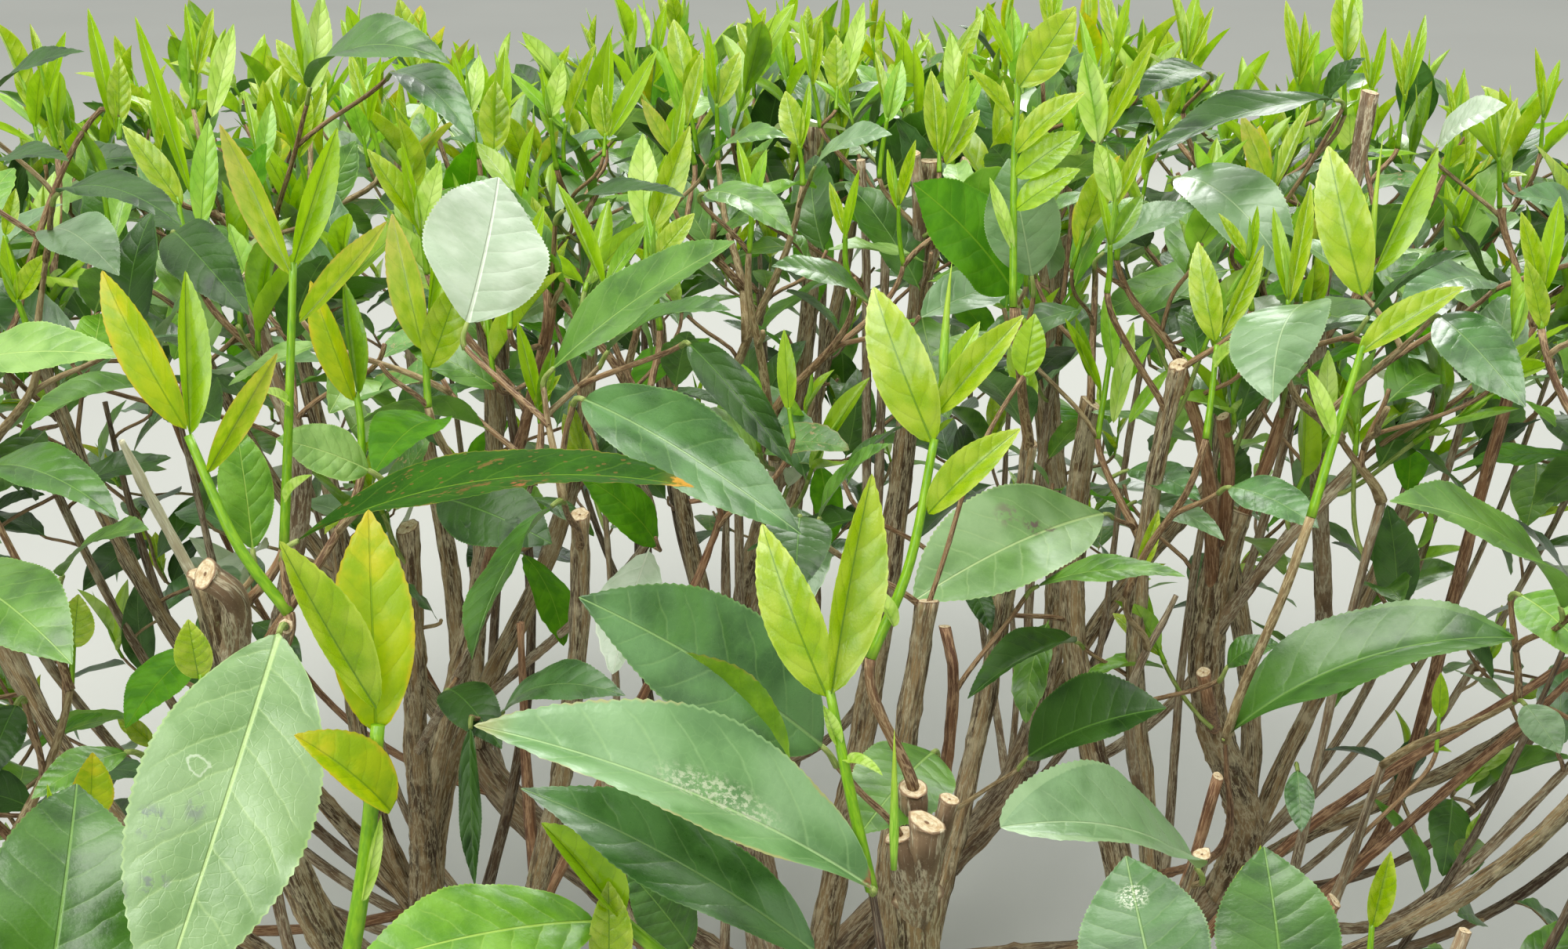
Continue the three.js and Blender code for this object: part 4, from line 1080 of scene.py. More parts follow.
def put(path, tangents, radii, own):
    global filled
    k = len(path)
    NP[filled : filled + k], NT[filled : filled + k] = path, tangents
    NR[filled : filled + k], NOWN[filled : filled + k] = radii, own
    filled += k


p, t, r, u = skel.arrays()
put(p, t, r, -1)


def spring(target, least=0.012, low=0.15, crowd=0.010, steep=3.0):
    """The best place on the wood grown so far for a twig that is to reach target."""
    d = target - NP[:filled]
    dist = np.linalg.norm(d, axis=1)
    to = d / np.maximum(dist, 1e-6)[:, None]
    align = np.sum(to * NT[:filled], axis=1)
    cost = dist * (1 + 0.45 * (1 - align)) + steep * dist * np.clip(low - to[:, 2], 0, 2) + crowd * NLOAD[:filled]
    cost = cost + np.where(dist < least, 5.0, 0.0)
    return int(np.argmin(cost))


def grow_twig(target, rise, tip_radius, tone, rings=9, wobble=0.02, hand=0.32, least=0.012, own_wood=True, low=0.30, clear=False):
    i = spring(target, least, low)
    start = NP[i]
    to = unit(target - start)
    out = unit(0.4 * NT[i] + 0.8 * to)
    path = bent(start, target, out, unit(rise + to * 0.5), rings, wobble, hand)
    if clear and hides(path[3:], 0.0).mean() > 0.3:
        return None
    near_by = np.linalg.norm(NP[:filled] - start, axis=1) < 0.018
    NLOAD[:filled][near_by] += 1
    index = len(twigs)
    twigs.append([path, int(NOWN[i]), tip_radius, tone, 1])
    if own_wood:
        tan = unit(np.gradient(path, axis=0))
        put(path[2:], tan[2:], tip_radius * 1.3, index)
    return index


def stalk_to(place, along, radius):
    """Wood up to a shown blade: a twig that passes just under its base, and a short green stalk from it."""
    gap = np.linalg.norm(NP[:filled] - place, axis=1)
    i = int(np.argmin(gap))
    if gap[i] < 0.014:
        petioles.append((bent(NP[i], place, unit(NT[i] * 0.3 + unit(place - NP[i])), along, 6), radius, radius * 0.8))
        return
    foot = place - along * 0.007 - np.array((0, 0, 0.002))
    to = unit(foot - NP[spring(foot, 0.008, 0.6)])
    rise = unit(to * 0.8 + np.array((0, 0, 0.4)) + along * 0.15)
    grow_twig(foot, rise, 0.00115, 1, rings=9, wobble=0.008, least=0.008, low=0.6, hand=0.24)
    petioles.append((bent(foot - rise * 0.002, place, rise, along, 6, hand=0.45), radius * 1.05, radius * 0.8))


order = sorted(range(len(hooks)), key=lambda k: (hooks[k][3], np.linalg.norm(NP[:filled] - hooks[k][0], axis=1).min()))
for k in order:
    place, direction, radius, tone = hooks[k]
    if tone == 0:
        if np.linalg.norm(NP[:filled] - place, axis=1).min() > 0.006:
            grow_twig(place, direction, radius * 0.96, 1, rings=12, wobble=0.010, low=0.8)
    else:
        stalk_to(place, direction, radius)


def safe(points):
    points = np.atleast_2d(points)
    return bool(
        (np.abs(points[:, 0]) < 0.690).all() and (np.abs(points[:, 1]) < 0.648).all()
        and (points[:, 2] < 0.775).all() and (points[:, 2] > 0.012).all()
    )


def blade_spots(base, along, up, length, width, droop):
    """A few places on a blade: down its midrib and on both margins."""
    side = np.cross(along, up)
    out = []
    for v in (0.2, 0.45, 0.7, 1.0):
        q = base + along * length * v * (1 - 0.12 * droop * v) - up * length * 0.4 * droop * v * v
        out.append(q)
        if v < 1.0:
            out.append(q + side * width * 0.45)
            out.append(q - side * width * 0.45)
    return np.array(out)


def flush(tip, rise, size=1.0, full=True):
    """A young shoot: a short green stem, two to four folded leaves and the spear of the bud."""
    h = RNG.uniform(0.012, 0.036) * size
    lean = unit(rise + RNG.normal(size=3) * 0.10)
    top = tip + lean * h
    path = bent(tip, top, rise, lean, 5)
    crown = top + lean * 0.042 * size
    over = crown[2] - float(table_height(crown[0], crown[1])) - 0.020
    if over > 0:
        size = max(size - over / 0.055, 0.6)
    around = np.stack((top, crown, (top + crown) / 2))
    wings = np.concatenate((around, around[1:] + RIGHT * 0.018 * size, around[1:] - RIGHT * 0.018 * size))
    if hides(wings).any() or not safe(crown):
        return False
    shoot_stems.append((path, RNG.uniform(0.00115, 0.0016) * size**0.5, 0.0010 * size**0.5))
    az = RNG.uniform(0, 6.283)
    e1 = square_to(np.array((1.0, 0.2, 0)), lean)
    e2 = np.cross(lean, e1)
    count = int(RNG.choice((2, 3, 3, 4))) if full else 2
    tint = int(RNG.choice((LIME, FRESH, FRESH, LIME, SOFT, MILKY, GREEN, AMBER, GOLD), p=(.22, .16, .16, .10, .10, .08, .08, .06, .04)))
    for k in range(count):
        share = (k + 0.6) / count
        place = path[int(round(min(share, 1.0) * 4))]
        a = az + k * 2.6 + RNG.uniform(-0.3, 0.3)
        side = math.cos(a) * e1 + math.sin(a) * e2
        high = k / max(count - 1, 1)
        spread = math.radians(RNG.uniform(22, 56) * (1 - high) + RNG.uniform(6, 18) * high)
        along = unit(math.cos(spread) * lean + math.sin(spread) * side)
        length = size * (RNG.uniform(0.034, 0.052) * (1 - high) + RNG.uniform(0.028, 0.042) * high)
        kind = tint if RNG.uniform() < 0.75 else int(RNG.choice((LIME, FRESH, GREEN, SOFT)))
        young.append(
            leaf(
                base=place, along=along, face=lean * 0.8 - side * 0.6, length=length, width=length * RNG.uniform(0.29, 0.43),
                a=0.82, b=1.0, bend=RNG.uniform(-0.24, 0.60), fold=RNG.uniform(0.40, 0.92) + 0.25 * high,
                twist=RNG.uniform(-0.35, 0.35), wave=0.012, quilt=0.00015, pleats=7, stalk=0.03, tooth=0.02, phase=RNG.uniform(0, 6),
                variant=kind,
            )
        )
    if RNG.uniform() < 0.9:
        length = size * RNG.uniform(0.018, 0.034)
        buds.append((top - lean * 0.001, unit(lean + RNG.normal(size=3) * 0.06), length, RNG.uniform(0.0011, 0.0018) * size**0.5,
                     RNG.uniform(-.25, .25), tint))
    if RNG.uniform() < 0.6:
        a = az + RNG.uniform(1, 5)
        side = math.cos(a) * e1 + math.sin(a) * e2
        young.append(
            leaf(base=path[1], along=unit(lean + side * 0.6), face=lean - side * 0.6, length=size * RNG.uniform(0.010, 0.018),
                 width=size * 0.006, a=0.6, b=0.5, bend=RNG.uniform(-.2, .5), fold=0.5, stalk=0.0, tooth=0.0, variant=MILKY,
                 phase=0.0)
        )
    return True


GLOSS = (DARK, DEEP, MID, TEAL, SLATE_PAINTED_SHEEN, PALE, LIGHT, BACKLIT, WORN, PAINTED_SHEEN)


def dress(path, count, first=0.010, gap=(0.016, 0.027), size=1.0, lift=0.0):
    """Mature leaves up a twig, each turned on from the last by the golden angle, the lowest the largest."""
    length = np.concatenate(([0], np.cumsum(np.linalg.norm(np.diff(path, axis=0), axis=1))))
    tan = unit(np.gradient(path, axis=0))
    at_run = length[-1] - first
    az = RNG.uniform(0, 6.283)
    done = 0
    for k in range(count):
        if at_run < 0.006:
            break
        place = np.array([np.interp(at_run, length, path[:, q]) for q in range(3)])
        t = unit(np.array([np.interp(at_run, length, tan[:, q]) for q in range(3)]))
        e1 = square_to(np.array((0.9, 0.3, 0.1)), t)
        e2 = np.cross(t, e1)
        a = az + k * 2.39996 + RNG.uniform(-0.35, 0.35)
        side = math.cos(a) * e1 + math.sin(a) * e2
        spread = math.radians(RNG.uniform(38, 66) + 5 * k)
        along = unit(math.cos(spread) * t + math.sin(spread) * side + np.array((0, 0, 0.10)))
        L = size * RNG.uniform(0.052, 0.094) * (0.82 + 0.06 * min(k, 3))
        droop = RNG.uniform(0.15, 1.05)
        up = square_to(t * 0.55 + np.array((0, 0, 0.8)) + RNG.normal(size=3) * 0.16, along)
        tip = place + along * L * 0.85 - up * L * 0.4 * droop
        middle = place + along * L * 0.5
        at_run -= RNG.uniform(*gap)
        if tip[2] > table_height(tip[0], tip[1]) - 0.015 + lift or not safe(tip) or not safe(middle):
            continue
        if hides(blade_spots(place, along, up, L, L * 0.42, droop), 0.03).any():
            continue
        kind = int(RNG.choice(GLOSS, p=(.15, .15, .20, .13, .08, .06, .09, .06, .05, .03)))
        mature.append(
            leaf(
                base=place, along=along, face=up, length=L, width=L * RNG.uniform(0.34, 0.46), bend=droop, bend2=RNG.uniform(-.2, .3),
                fold=RNG.uniform(0.08, 0.50), curl=RNG.uniform(-0.02, 0.05), wave=RNG.uniform(0.008, 0.035), phase=RNG.uniform(0, 6),
                waves=RNG.uniform(1.2, 2.6), twist=RNG.uniform(-0.4, 0.4), sway=RNG.uniform(-0.10, 0.10), stalk=0.06,
                quilt=0.0005, variant=kind,
            )
        )
        done += 1
    return done


# --- where shoots are to stand: over the plucked table, down its sides, and in the skirt
def table_place():
    a, r = RNG.uniform(0, 2 * math.pi), math.sqrt(RNG.uniform(0, 0.93))
    x, y = math.cos(a) * r * HALF_X, math.sin(a) * r * HALF_Y
    return np.array((x, y, float(table_height(x, y)) - RNG.uniform(0.065, 0.125)))


def side_place():
    a = RNG.uniform(0, 2 * math.pi)
    z = RNG.uniform(0.24, 0.60)
    r = RNG.uniform(0.74, 0.95) * (1 - 0.20 * smooth(np.array(z), 0.46, 0.22))
    return np.array((math.cos(a) * r * HALF_X, math.sin(a) * r * HALF_Y, z))


def under_place():
    a, r = RNG.uniform(0, 2 * math.pi), math.sqrt(RNG.uniform(0.02, 0.8))
    return np.array((math.cos(a) * r * HALF_X, math.sin(a) * r * HALF_Y, RNG.uniform(0.42, 0.58)))


table_ends = scatter(5200, lambda p: 0.050 if p[1] > -0.30 else 0.054, table_place)
side_ends = scatter(2600, 0.062, side_place, table_ends)
under_ends = scatter(700, 0.085, under_place, table_ends)
ends = [(p, 0) for p in table_ends] + [(p, 1) for p in side_ends] + [(p, 2) for p in under_ends]
base_nodes = NP[:filled].copy()
ends.sort(key=lambda e: float(np.linalg.norm(base_nodes - e[0], axis=1).min()))
cut_twigs = []
for p, where in ends:
    if hides(p, 0.01).any() or (where != 1 and hides(p + np.array((0, 0, 0.05)), 0.01).any()):
        continue
    outward = np.array((p[0] / HALF_X, p[1] / HALF_Y, 0.0))
    if where == 0:
        rise = unit(outward * 0.28 + np.array((0, 0, 1.0)) + RNG.normal(size=3) * 0.14)
    elif where == 1:
        rise = unit(outward * 0.75 + np.array((0, 0, 0.75)) + RNG.normal(size=3) * 0.2)
    else:
        rise = unit(outward * 0.4 + np.array((0, 0, 0.9)) + RNG.normal(size=3) * 0.25)
    k = grow_twig(p, rise, RNG.uniform(0.0010, 0.0014), 1, clear=True, low=(0.62, 0.2, 0.45)[where])
    if k is None:
        continue
    path = twigs[k][0]
    span = float(np.linalg.norm(np.diff(path, axis=0), axis=1).sum())
    room = int(np.clip(span / 0.021, 1, 7))
    if where == 0:
        luck = RNG.uniform()
        if luck < 0.03:
            cut_twigs.append(k)
            twigs[k][2] = 0.0018
        elif luck < 0.80:
            flush(p, rise, RNG.uniform(0.95, 1.5))
        leafy = luck >= 0.80
        dress(path, min(room, int(RNG.integers(3, 6))), first=0.003 if leafy else 0.008 + 0.01 * RNG.uniform(), lift=0.012 if leafy else 0.0)
    elif where == 1:
        if RNG.uniform() < 0.55:
            flush(p, rise, RNG.uniform(0.7, 1.1), full=False)
        dress(path, min(room, int(RNG.integers(3, 6))), first=0.006)
    else:
        dress(path, min(room, 3), first=0.004, size=0.95)

# shoots that stand close round the cut heads of the canes and stems
heads = [(path[-1], unit(path[-1] - path[-2]), path) for path, r0, r1, cut, tone in canes if cut]
heads += [(limb_data[s[0]][0][-1], LIMBS[s[0]][1], limb_data[s[0]][0]) for s in STEMS]
for place, rise, path in heads:
    for _ in range(int(RNG.integers(1, 4))):
        a = RNG.uniform(0, 6.283)
        side = np.array((math.cos(a), math.sin(a), 0.0))
        foot = place - rise * RNG.uniform(0.004, 0.05)
        tip = foot + side * RNG.uniform(0.012, 0.03) + rise * RNG.uniform(0.012, 0.05)
        if hides(np.stack((tip, tip + rise * 0.04)), 0.0).any():
            continue
        if tip[2] + 0.05 > table_height(tip[0], tip[1]):
            continue
        way = unit(side * 0.3 + rise)
        line = bent(foot, tip, unit(side + rise * 0.4), way, 7)
        twigs.append([line, -1, 0.0012, 4, 1])
        if flush(tip, way, RNG.uniform(0.8, 1.2)):
            dress(line, 2, first=0.004)

for tw in reversed(twigs):
    if tw[1] >= 0:
        twigs[tw[1]][4] += tw[4]
print("twigs", len(twigs), "mature", len(mature), "young", len(young), "buds", len(buds), "stems", len(shoot_stems))


# ------------------------------------------------------------------ materials
def srgb(r, g, b):
    return tuple(((c / 255.0) / 12.92 if c / 255.0 <= 0.04045 else ((c / 255.0 + 0.055) / 1.055) ** 2.4) for c in (r, g, b)) + (1.0,)


class Net:
    """A material's nodes, written as sums."""

    def __init__(self, name):
        self.mat = bpy.data.materials.new(name)
        self.mat.use_nodes = True
        self.tree = self.mat.node_tree
        self.tree.nodes.clear()

    def node(self, kind, **settings):
        n = self.tree.nodes.new(kind)
        for k, v in settings.items():
            setattr(n, k, v)
        return n

    def plug(self, socket, value):
        if isinstance(value, bpy.types.NodeSocket):
            self.tree.links.new(value, socket)
        else:
            socket.default_value = value

    def math(self, op, a, b=0.0, c=0.0, clamp=False):
        n = self.node("ShaderNodeMath", operation=op, use_clamp=clamp)
        for s, v in zip(n.inputs, (a, b, c)):
            self.plug(s, v)
        return n.outputs[0]

    def step(self, value, lo, hi):
        """0 below lo, 1 above hi, smooth between; lo may be above hi."""
        n = self.node("ShaderNodeMapRange", interpolation_type="SMOOTHSTEP")
        up = lo < hi
        for s, v in zip(n.inputs[:5], (value, min(lo, hi), max(lo, hi), 0.0 if up else 1.0, 1.0 if up else 0.0)):
            self.plug(s, v)
        return n.outputs[0]

    def blend(self, fac, a, b, how="MIX"):
        n = self.node("ShaderNodeMix", data_type="RGBA", blend_type=how)
        self.plug(n.inputs[0], fac)
        self.plug(n.inputs[6], a)
        self.plug(n.inputs[7], b)
        return n.outputs[2]

    def uv(self, name):
        return self.node("ShaderNodeUVMap", uv_map=name).outputs[0]

    def split(self, vector):
        n = self.node("ShaderNodeSeparateXYZ")
        self.plug(n.inputs[0], vector)
        return n.outputs[0], n.outputs[1], n.outputs[2]

    def join(self, x, y, z):
        n = self.node("ShaderNodeCombineXYZ")
        for s, v in zip(n.inputs, (x, y, z)):
            self.plug(s, v)
        return n.outputs[0]

    def noise(self, vector, scale, detail=3.0, rough=0.55, flat=False):
        n = self.node("ShaderNodeTexNoise")
        if flat:
            n.noise_dimensions = "2D"
        self.plug(n.inputs["Vector"], vector)
        n.inputs["Scale"].default_value = scale
        n.inputs["Detail"].default_value = detail
        n.inputs["Roughness"].default_value = rough
        return n.outputs[0]

    def cells(self, vector, scale, feature="DISTANCE_TO_EDGE"):
        n = self.node("ShaderNodeTexVoronoi", feature=feature, voronoi_dimensions="2D")
        self.plug(n.inputs["Vector"], vector)
        n.inputs["Scale"].default_value = scale
        return n.outputs[0]

    def bump(self, height, strength, distance, normal=None):
        n = self.node("ShaderNodeBump")
        self.plug(n.inputs["Height"], height)
        n.inputs["Strength"].default_value = strength
        n.inputs["Distance"].default_value = distance
        if normal is not None:
            self.plug(n.inputs["Normal"], normal)
        return n.outputs[0]

    def finish(self, colour, roughness, normal, coat=0.0, coat_rough=0.2, level=0.5, through=None, share=0.0, sheen=0.0):
        p = self.node("ShaderNodeBsdfPrincipled")
        self.plug(p.inputs["Base Color"], colour)
        self.plug(p.inputs["Roughness"], roughness)
        self.plug(p.inputs["Normal"], normal)
        p.inputs["Specular IOR Level"].default_value = level
        p.inputs["Coat Weight"].default_value = coat
        p.inputs["Coat Roughness"].default_value = coat_rough
        p.inputs["Sheen Weight"].default_value = sheen
        out = self.node("ShaderNodeOutputMaterial")
        if through is None:
            self.plug(out.inputs[0], p.outputs[0])
            return self.mat
        t = self.node("ShaderNodeBsdfTranslucent")
        self.plug(t.inputs["Color"], through)
        self.plug(t.inputs["Normal"], normal)
        m = self.node("ShaderNodeMixShader")
        m.inputs[0].default_value = share
        self.plug(m.inputs[1], p.outputs[0])
        self.plug(m.inputs[2], t.outputs[0])
        self.plug(out.inputs[0], m.outputs[0])
        return self.mat


def blade_material(name, base, dark, vein, through, share, rough, seed, edge=None, edge_from=0.62, spots=None, coat=0.0,
                   veins=8.0, puff=0.34, rib=0.021, coat_rough=0.28, net=0.4, level=0.5, marks=(), pale=None, strength=0.55,
                   shape=(0.90, 1.02), lines=0.24, painted_groove_shade=0.12, blush=None, rim=0.9):
    """A tea blade: pale midrib, arching side veins with painted shade darkening the grooves beside them, a faint net
    between them, mottling, paler patches (partly painted sheen on the lime flush), a fine pale margin and marks of
    wear.
    """
    m = Net(name)
    x, y, _ = m.split(m.uv("leafuv"))
    ax = m.math("ABSOLUTE", m.math("MULTIPLY_ADD", x, 2.0, -1.0))
    side = m.math("MULTIPLY", m.math("GREATER_THAN", x, 0.5), 0.5)
    place = m.join(m.math("MULTIPLY_ADD", x, 0.9, float(seed) * 5.3), m.math("MULTIPLY_ADD", y, 2.2, float(seed) * 1.7), 0.0)
    mottle = m.noise(place, 3.1, 3.0, flat=True)
    cloud = m.noise(place, 1.5, 1.0, flat=True)
    fine = m.noise(place, 26.0, 2.0, flat=True)
    # the side veins leave the midrib by turns and arch towards the tip
    wander = m.math("MULTIPLY_ADD", mottle, 0.05, -0.025)
    bow = m.math("ADD", m.math("MULTIPLY_ADD", ax, -0.165, y), wander)
    bow = m.math("SUBTRACT", bow, m.math("MULTIPLY", m.math("MULTIPLY", ax, ax), 0.058))
    ph = m.math("FRACT", m.math("ADD", m.math("MULTIPLY", bow, veins), side))
    tri = m.math("ABSOLUTE", m.math("MULTIPLY_ADD", ph, 2.0, -1.0))
    # the half width of the blade there, so the margin is at 1
    a, b = shape
    top = (a / (a + b)) ** a * (b / (a + b)) ** b
    wide = m.math("MULTIPLY", m.math("POWER", m.math("MAXIMUM", y, 0.001), a),
                  m.math("POWER", m.math("MAXIMUM", m.math("SUBTRACT", 1.0, y), 0.001), b))
    wide = m.math("MAXIMUM", m.math("MULTIPLY", wide, 1.0 / top), 0.01)
    across = m.math("DIVIDE", ax, wide)
    fade = m.step(across, 0.96, 0.70)
    line = m.math("MULTIPLY", m.step(tri, 0.88, 1.0), fade)
    slim = m.math("MULTIPLY_ADD", y, -0.6, 1.15)
    middle = m.step(m.math("DIVIDE", ax, slim), rib * 1.7, rib * 0.6)
    web = m.step(m.cells(m.join(m.math("MULTIPLY", x, 1.0), m.math("MULTIPLY", y, 2.3), 0.0), 15.0), 0.08, 0.0)
    web = m.math("MULTIPLY", web, fade)
    colour = m.blend(m.step(mottle, 0.34, 0.68), dark, base)
    if pale is not None:
        # paler cloudy patches: mostly the blade's own tone, but on the lime flush they are partly painted sheen,
        # standing for gloss on the quilts
        colour = m.blend(m.math("MULTIPLY", m.step(cloud, 0.42, 0.64), 0.75), colour, pale)
    colour = m.blend(m.math("MULTIPLY", fine, 0.20), colour, dark)
    # painted shade: the colour darkens towards each sunken side vein, as shade would lie in its groove
    colour = m.blend(m.math("MULTIPLY", m.step(tri, 0.55, 0.95), painted_groove_shade), colour, dark)
    colour = m.blend(m.math("MULTIPLY", web, 0.16 * net), colour, vein)
    colour = m.blend(m.math("MULTIPLY", line, lines), colour, vein)
    colour = m.blend(m.math("MULTIPLY", middle, 0.80), colour, vein)
    colour = m.blend(m.math("MULTIPLY", m.step(across, 0.955, 0.985), 0.35), colour, vein)
    if edge is not None:
        margin = m.math("MULTIPLY", m.step(m.math("ADD", across, m.math("MULTIPLY_ADD", mottle, 0.3, -0.15)), edge_from, 1.02), rim)
        colour = m.blend(margin, colour, edge)
        tip = m.math("MULTIPLY", m.step(y, 0.90, 1.0), rim * 0.9)
        colour = m.blend(tip, colour, edge)
    if blush is not None:
        # the newest leaves redden from the tip down, unevenly
        tone, start, amount = blush
        colour = m.blend(m.math("MULTIPLY", m.step(m.math("ADD", y, m.math("MULTIPLY_ADD", mottle, 0.8, -0.4)), start, 1.05), amount), colour, tone)
    if spots is not None:
        patch = m.noise(m.join(m.math("MULTIPLY_ADD", x, 1.1, float(seed) * 3.3), m.math("MULTIPLY", y, 2.1), 0.0), 4.2, 4.0, 0.7, flat=True)
        colour = m.blend(m.math("MULTIPLY", m.step(patch, 0.640, 0.672), 0.85), colour, spots)
        speck = m.cells(m.join(m.math("ADD", x, float(seed)), m.math("MULTIPLY", y, 2.2), 0.0), 7.0, "F1")
        colour = m.blend(m.math("MULTIPLY", m.step(speck, 0.10, 0.06), 0.7), colour, spots)
    for sort, mx, my, rx, ry, tone, share_of in marks:
        # each mark lies within an ellipse of the blade's own coordinates
        ex = m.math("MULTIPLY", m.math("SUBTRACT", x, mx), 1.0 / rx)
        ey = m.math("MULTIPLY", m.math("SUBTRACT", y, my), 1.0 / ry)
        far = m.math("SQRT", m.math("ADD", m.math("MULTIPLY", ex, ex), m.math("MULTIPLY", ey, ey)))
        if sort == "ring":
            far = m.math("ADD", far, m.math("MULTIPLY_ADD", m.noise(place, 14.0, 2.0, flat=True), 0.9, -0.45))
            amount = m.step(m.math("ABSOLUTE", m.math("SUBTRACT", far, 0.8)), 0.15, 0.03)
        else:
            spot = m.join(m.math("ADD", x, float(seed) * 2.1 + mx), m.math("MULTIPLY", y, 2.0), 0.0)
            grain = m.noise(spot, 30.0 if sort == "scale" else 9.0, 4.0, 0.7, flat=True)
            amount = m.math("MULTIPLY", m.step(grain, 0.46, 0.60), m.step(far, 1.0, 0.35))
        colour = m.blend(m.math("MULTIPLY", amount, share_of), colour, tone)
    swell = m.math("MULTIPLY", m.math("SUBTRACT", 1.0, m.math("POWER", tri, 3.0)), fade)
    height = m.math("MULTIPLY", swell, puff)
    height = m.math("SUBTRACT", height, m.math("MULTIPLY", middle, 0.55))
    if net > 0.45:
        height = m.math("SUBTRACT", height, m.math("MULTIPLY", web, 0.05))
    height = m.math("ADD", height, m.math("MULTIPLY", fine, 0.14))
    normal = m.bump(height, strength, 0.0013)
    shine = m.math("MULTIPLY_ADD", fine, 0.18, rough - 0.09)
    shine = m.math("ADD", shine, m.math("MULTIPLY", mottle, 0.08))
    lit = m.blend(1.0, colour, through, "MULTIPLY")
    lit = m.blend(m.math("MULTIPLY", m.math("ADD", line, m.math("MULTIPLY", middle, 0.8)), 0.25), lit, (0.02, 0.06, 0.01, 1.0))
    return m.finish(colour, shine, normal, coat, coat_rough, level, lit, share)


THROUGH = (1.25, 1.34, 0.50, 1.0)
BRIGHT = (1.25, 1.30, 0.60, 1.0)
MATURE_KINDS = (
    # name, base, dark, vein, share through, roughness, more
    ("leaf_dark", (36, 70, 14), (22, 50, 8), (82, 122, 46), .08, .34, dict(coat=.14, level=.25, pale=srgb(52, 88, 26))),
    ("leaf_deep", (58, 102, 24), (40, 78, 14), (106, 146, 62), .16, .28, dict(coat=.42, pale=srgb(76, 120, 38))),
    ("leaf_mid", (80, 126, 30), (58, 100, 20), (136, 172, 82), .18, .30, dict(coat=.40, pale=srgb(102, 146, 54))),
    ("leaf_teal", (66, 110, 46), (46, 86, 32), (122, 158, 90), .14, .27, dict(coat=.50, pale=srgb(90, 134, 74))),
    # this kind's grey-blue cast is partly the blade's own tone and partly painted sheen, standing in for the sky's
    # reflection on its wax
    ("leaf_slate_painted_sheen", (104, 139, 90), (84, 118, 70), (154, 180, 132), .16, .28, dict(coat=.45, level=.6, pale=srgb(130, 160, 118))),
    ("leaf_pale", (118, 158, 64), (96, 138, 48), (170, 200, 110), .18, .32, dict(coat=.35, pale=srgb(142, 178, 94))),
    ("leaf_light", (102, 152, 34), (82, 132, 24), (162, 196, 84), .24, .32, dict(coat=.35, pale=srgb(124, 170, 58))),
    ("leaf_backlit", (92, 152, 20), (70, 128, 14), (124, 170, 40), .52, .42, dict(level=.25)),
    ("leaf_worn", (94, 138, 62), (74, 118, 48), (146, 176, 100), .18, .33, dict(coat=.30, spots=srgb(166, 146, 106), edge=srgb(128, 128, 66), edge_from=.93, pale=srgb(126, 166, 94))),
    # this kind's whitish grey-green colour is painted sheen: it stands in for the sky's reflection on a glossy blade,
    # not for the leaf's own colour
    ("leaf_painted_sheen", (190, 203, 184), (168, 186, 160), (210, 218, 200), .18, .28, dict(coat=.5, level=.7)),
    ("leaf_olive", (46, 90, 6), (32, 70, 4), (98, 134, 34), .24, .60, dict(level=.10, spots=srgb(104, 84, 40), edge=srgb(122, 112, 40), edge_from=.95,
        marks=(("stain", .80, .63, .20, .06, srgb(142, 84, 52), .95), ("stain", .70, .50, .22, .05, srgb(110, 74, 40), .7), ("stain", .5, .97, .3, .05, srgb(190, 140, 50), .9)))),
    ("leaf_marked", (114, 147, 88), (92, 128, 66), (172, 198, 128), .14, .33, dict(coat=.35, level=.7, pale=srgb(140, 167, 121), net=.5, shape=(1.0, .95),
        marks=(("stain", .84, .62, .13, .05, srgb(98, 102, 112), .75), ("stain", .64, .56, .07, .05, srgb(102, 106, 110), .6),
               ("stain", .72, .74, .10, .06, srgb(96, 96, 108), .65), ("stain", .90, .80, .09, .06, srgb(92, 86, 108), .75),
               ("ring", .70, .46, .075, .026, srgb(190, 202, 178), .6)))),
    ("leaf_scaly", (100, 142, 82), (76, 118, 60), (156, 190, 126), .14, .31, dict(coat=.40, level=.7, pale=srgb(132, 167, 118),
        edge=srgb(150, 146, 92), edge_from=.96, marks=(("scale", .54, .44, .15, .20, srgb(182, 190, 160), .8), ("stain", .5, .01, .4, .03, srgb(150, 96, 52), .9)))),
    ("leaf_bruised", (108, 146, 80), (88, 126, 62), (166, 190, 126), .16, .30, dict(coat=.35, level=.7, pale=srgb(138, 168, 116), shape=(1.15, .95),
        marks=(("stain", .58, .40, .12, .05, srgb(88, 66, 64), .95), ("stain", .74, .47, .14, .08, srgb(112, 100, 88), .7), ("stain", .50, .33, .07, .035, srgb(84, 64, 56), .9)))),
    ("leaf_flecked", (66, 106, 50), (50, 86, 38), (128, 160, 96), .14, .30, dict(coat=.25, pale=srgb(86, 126, 72),
        marks=(("scale", .49, .75, .16, .10, srgb(206, 212, 190), .85),))),
)
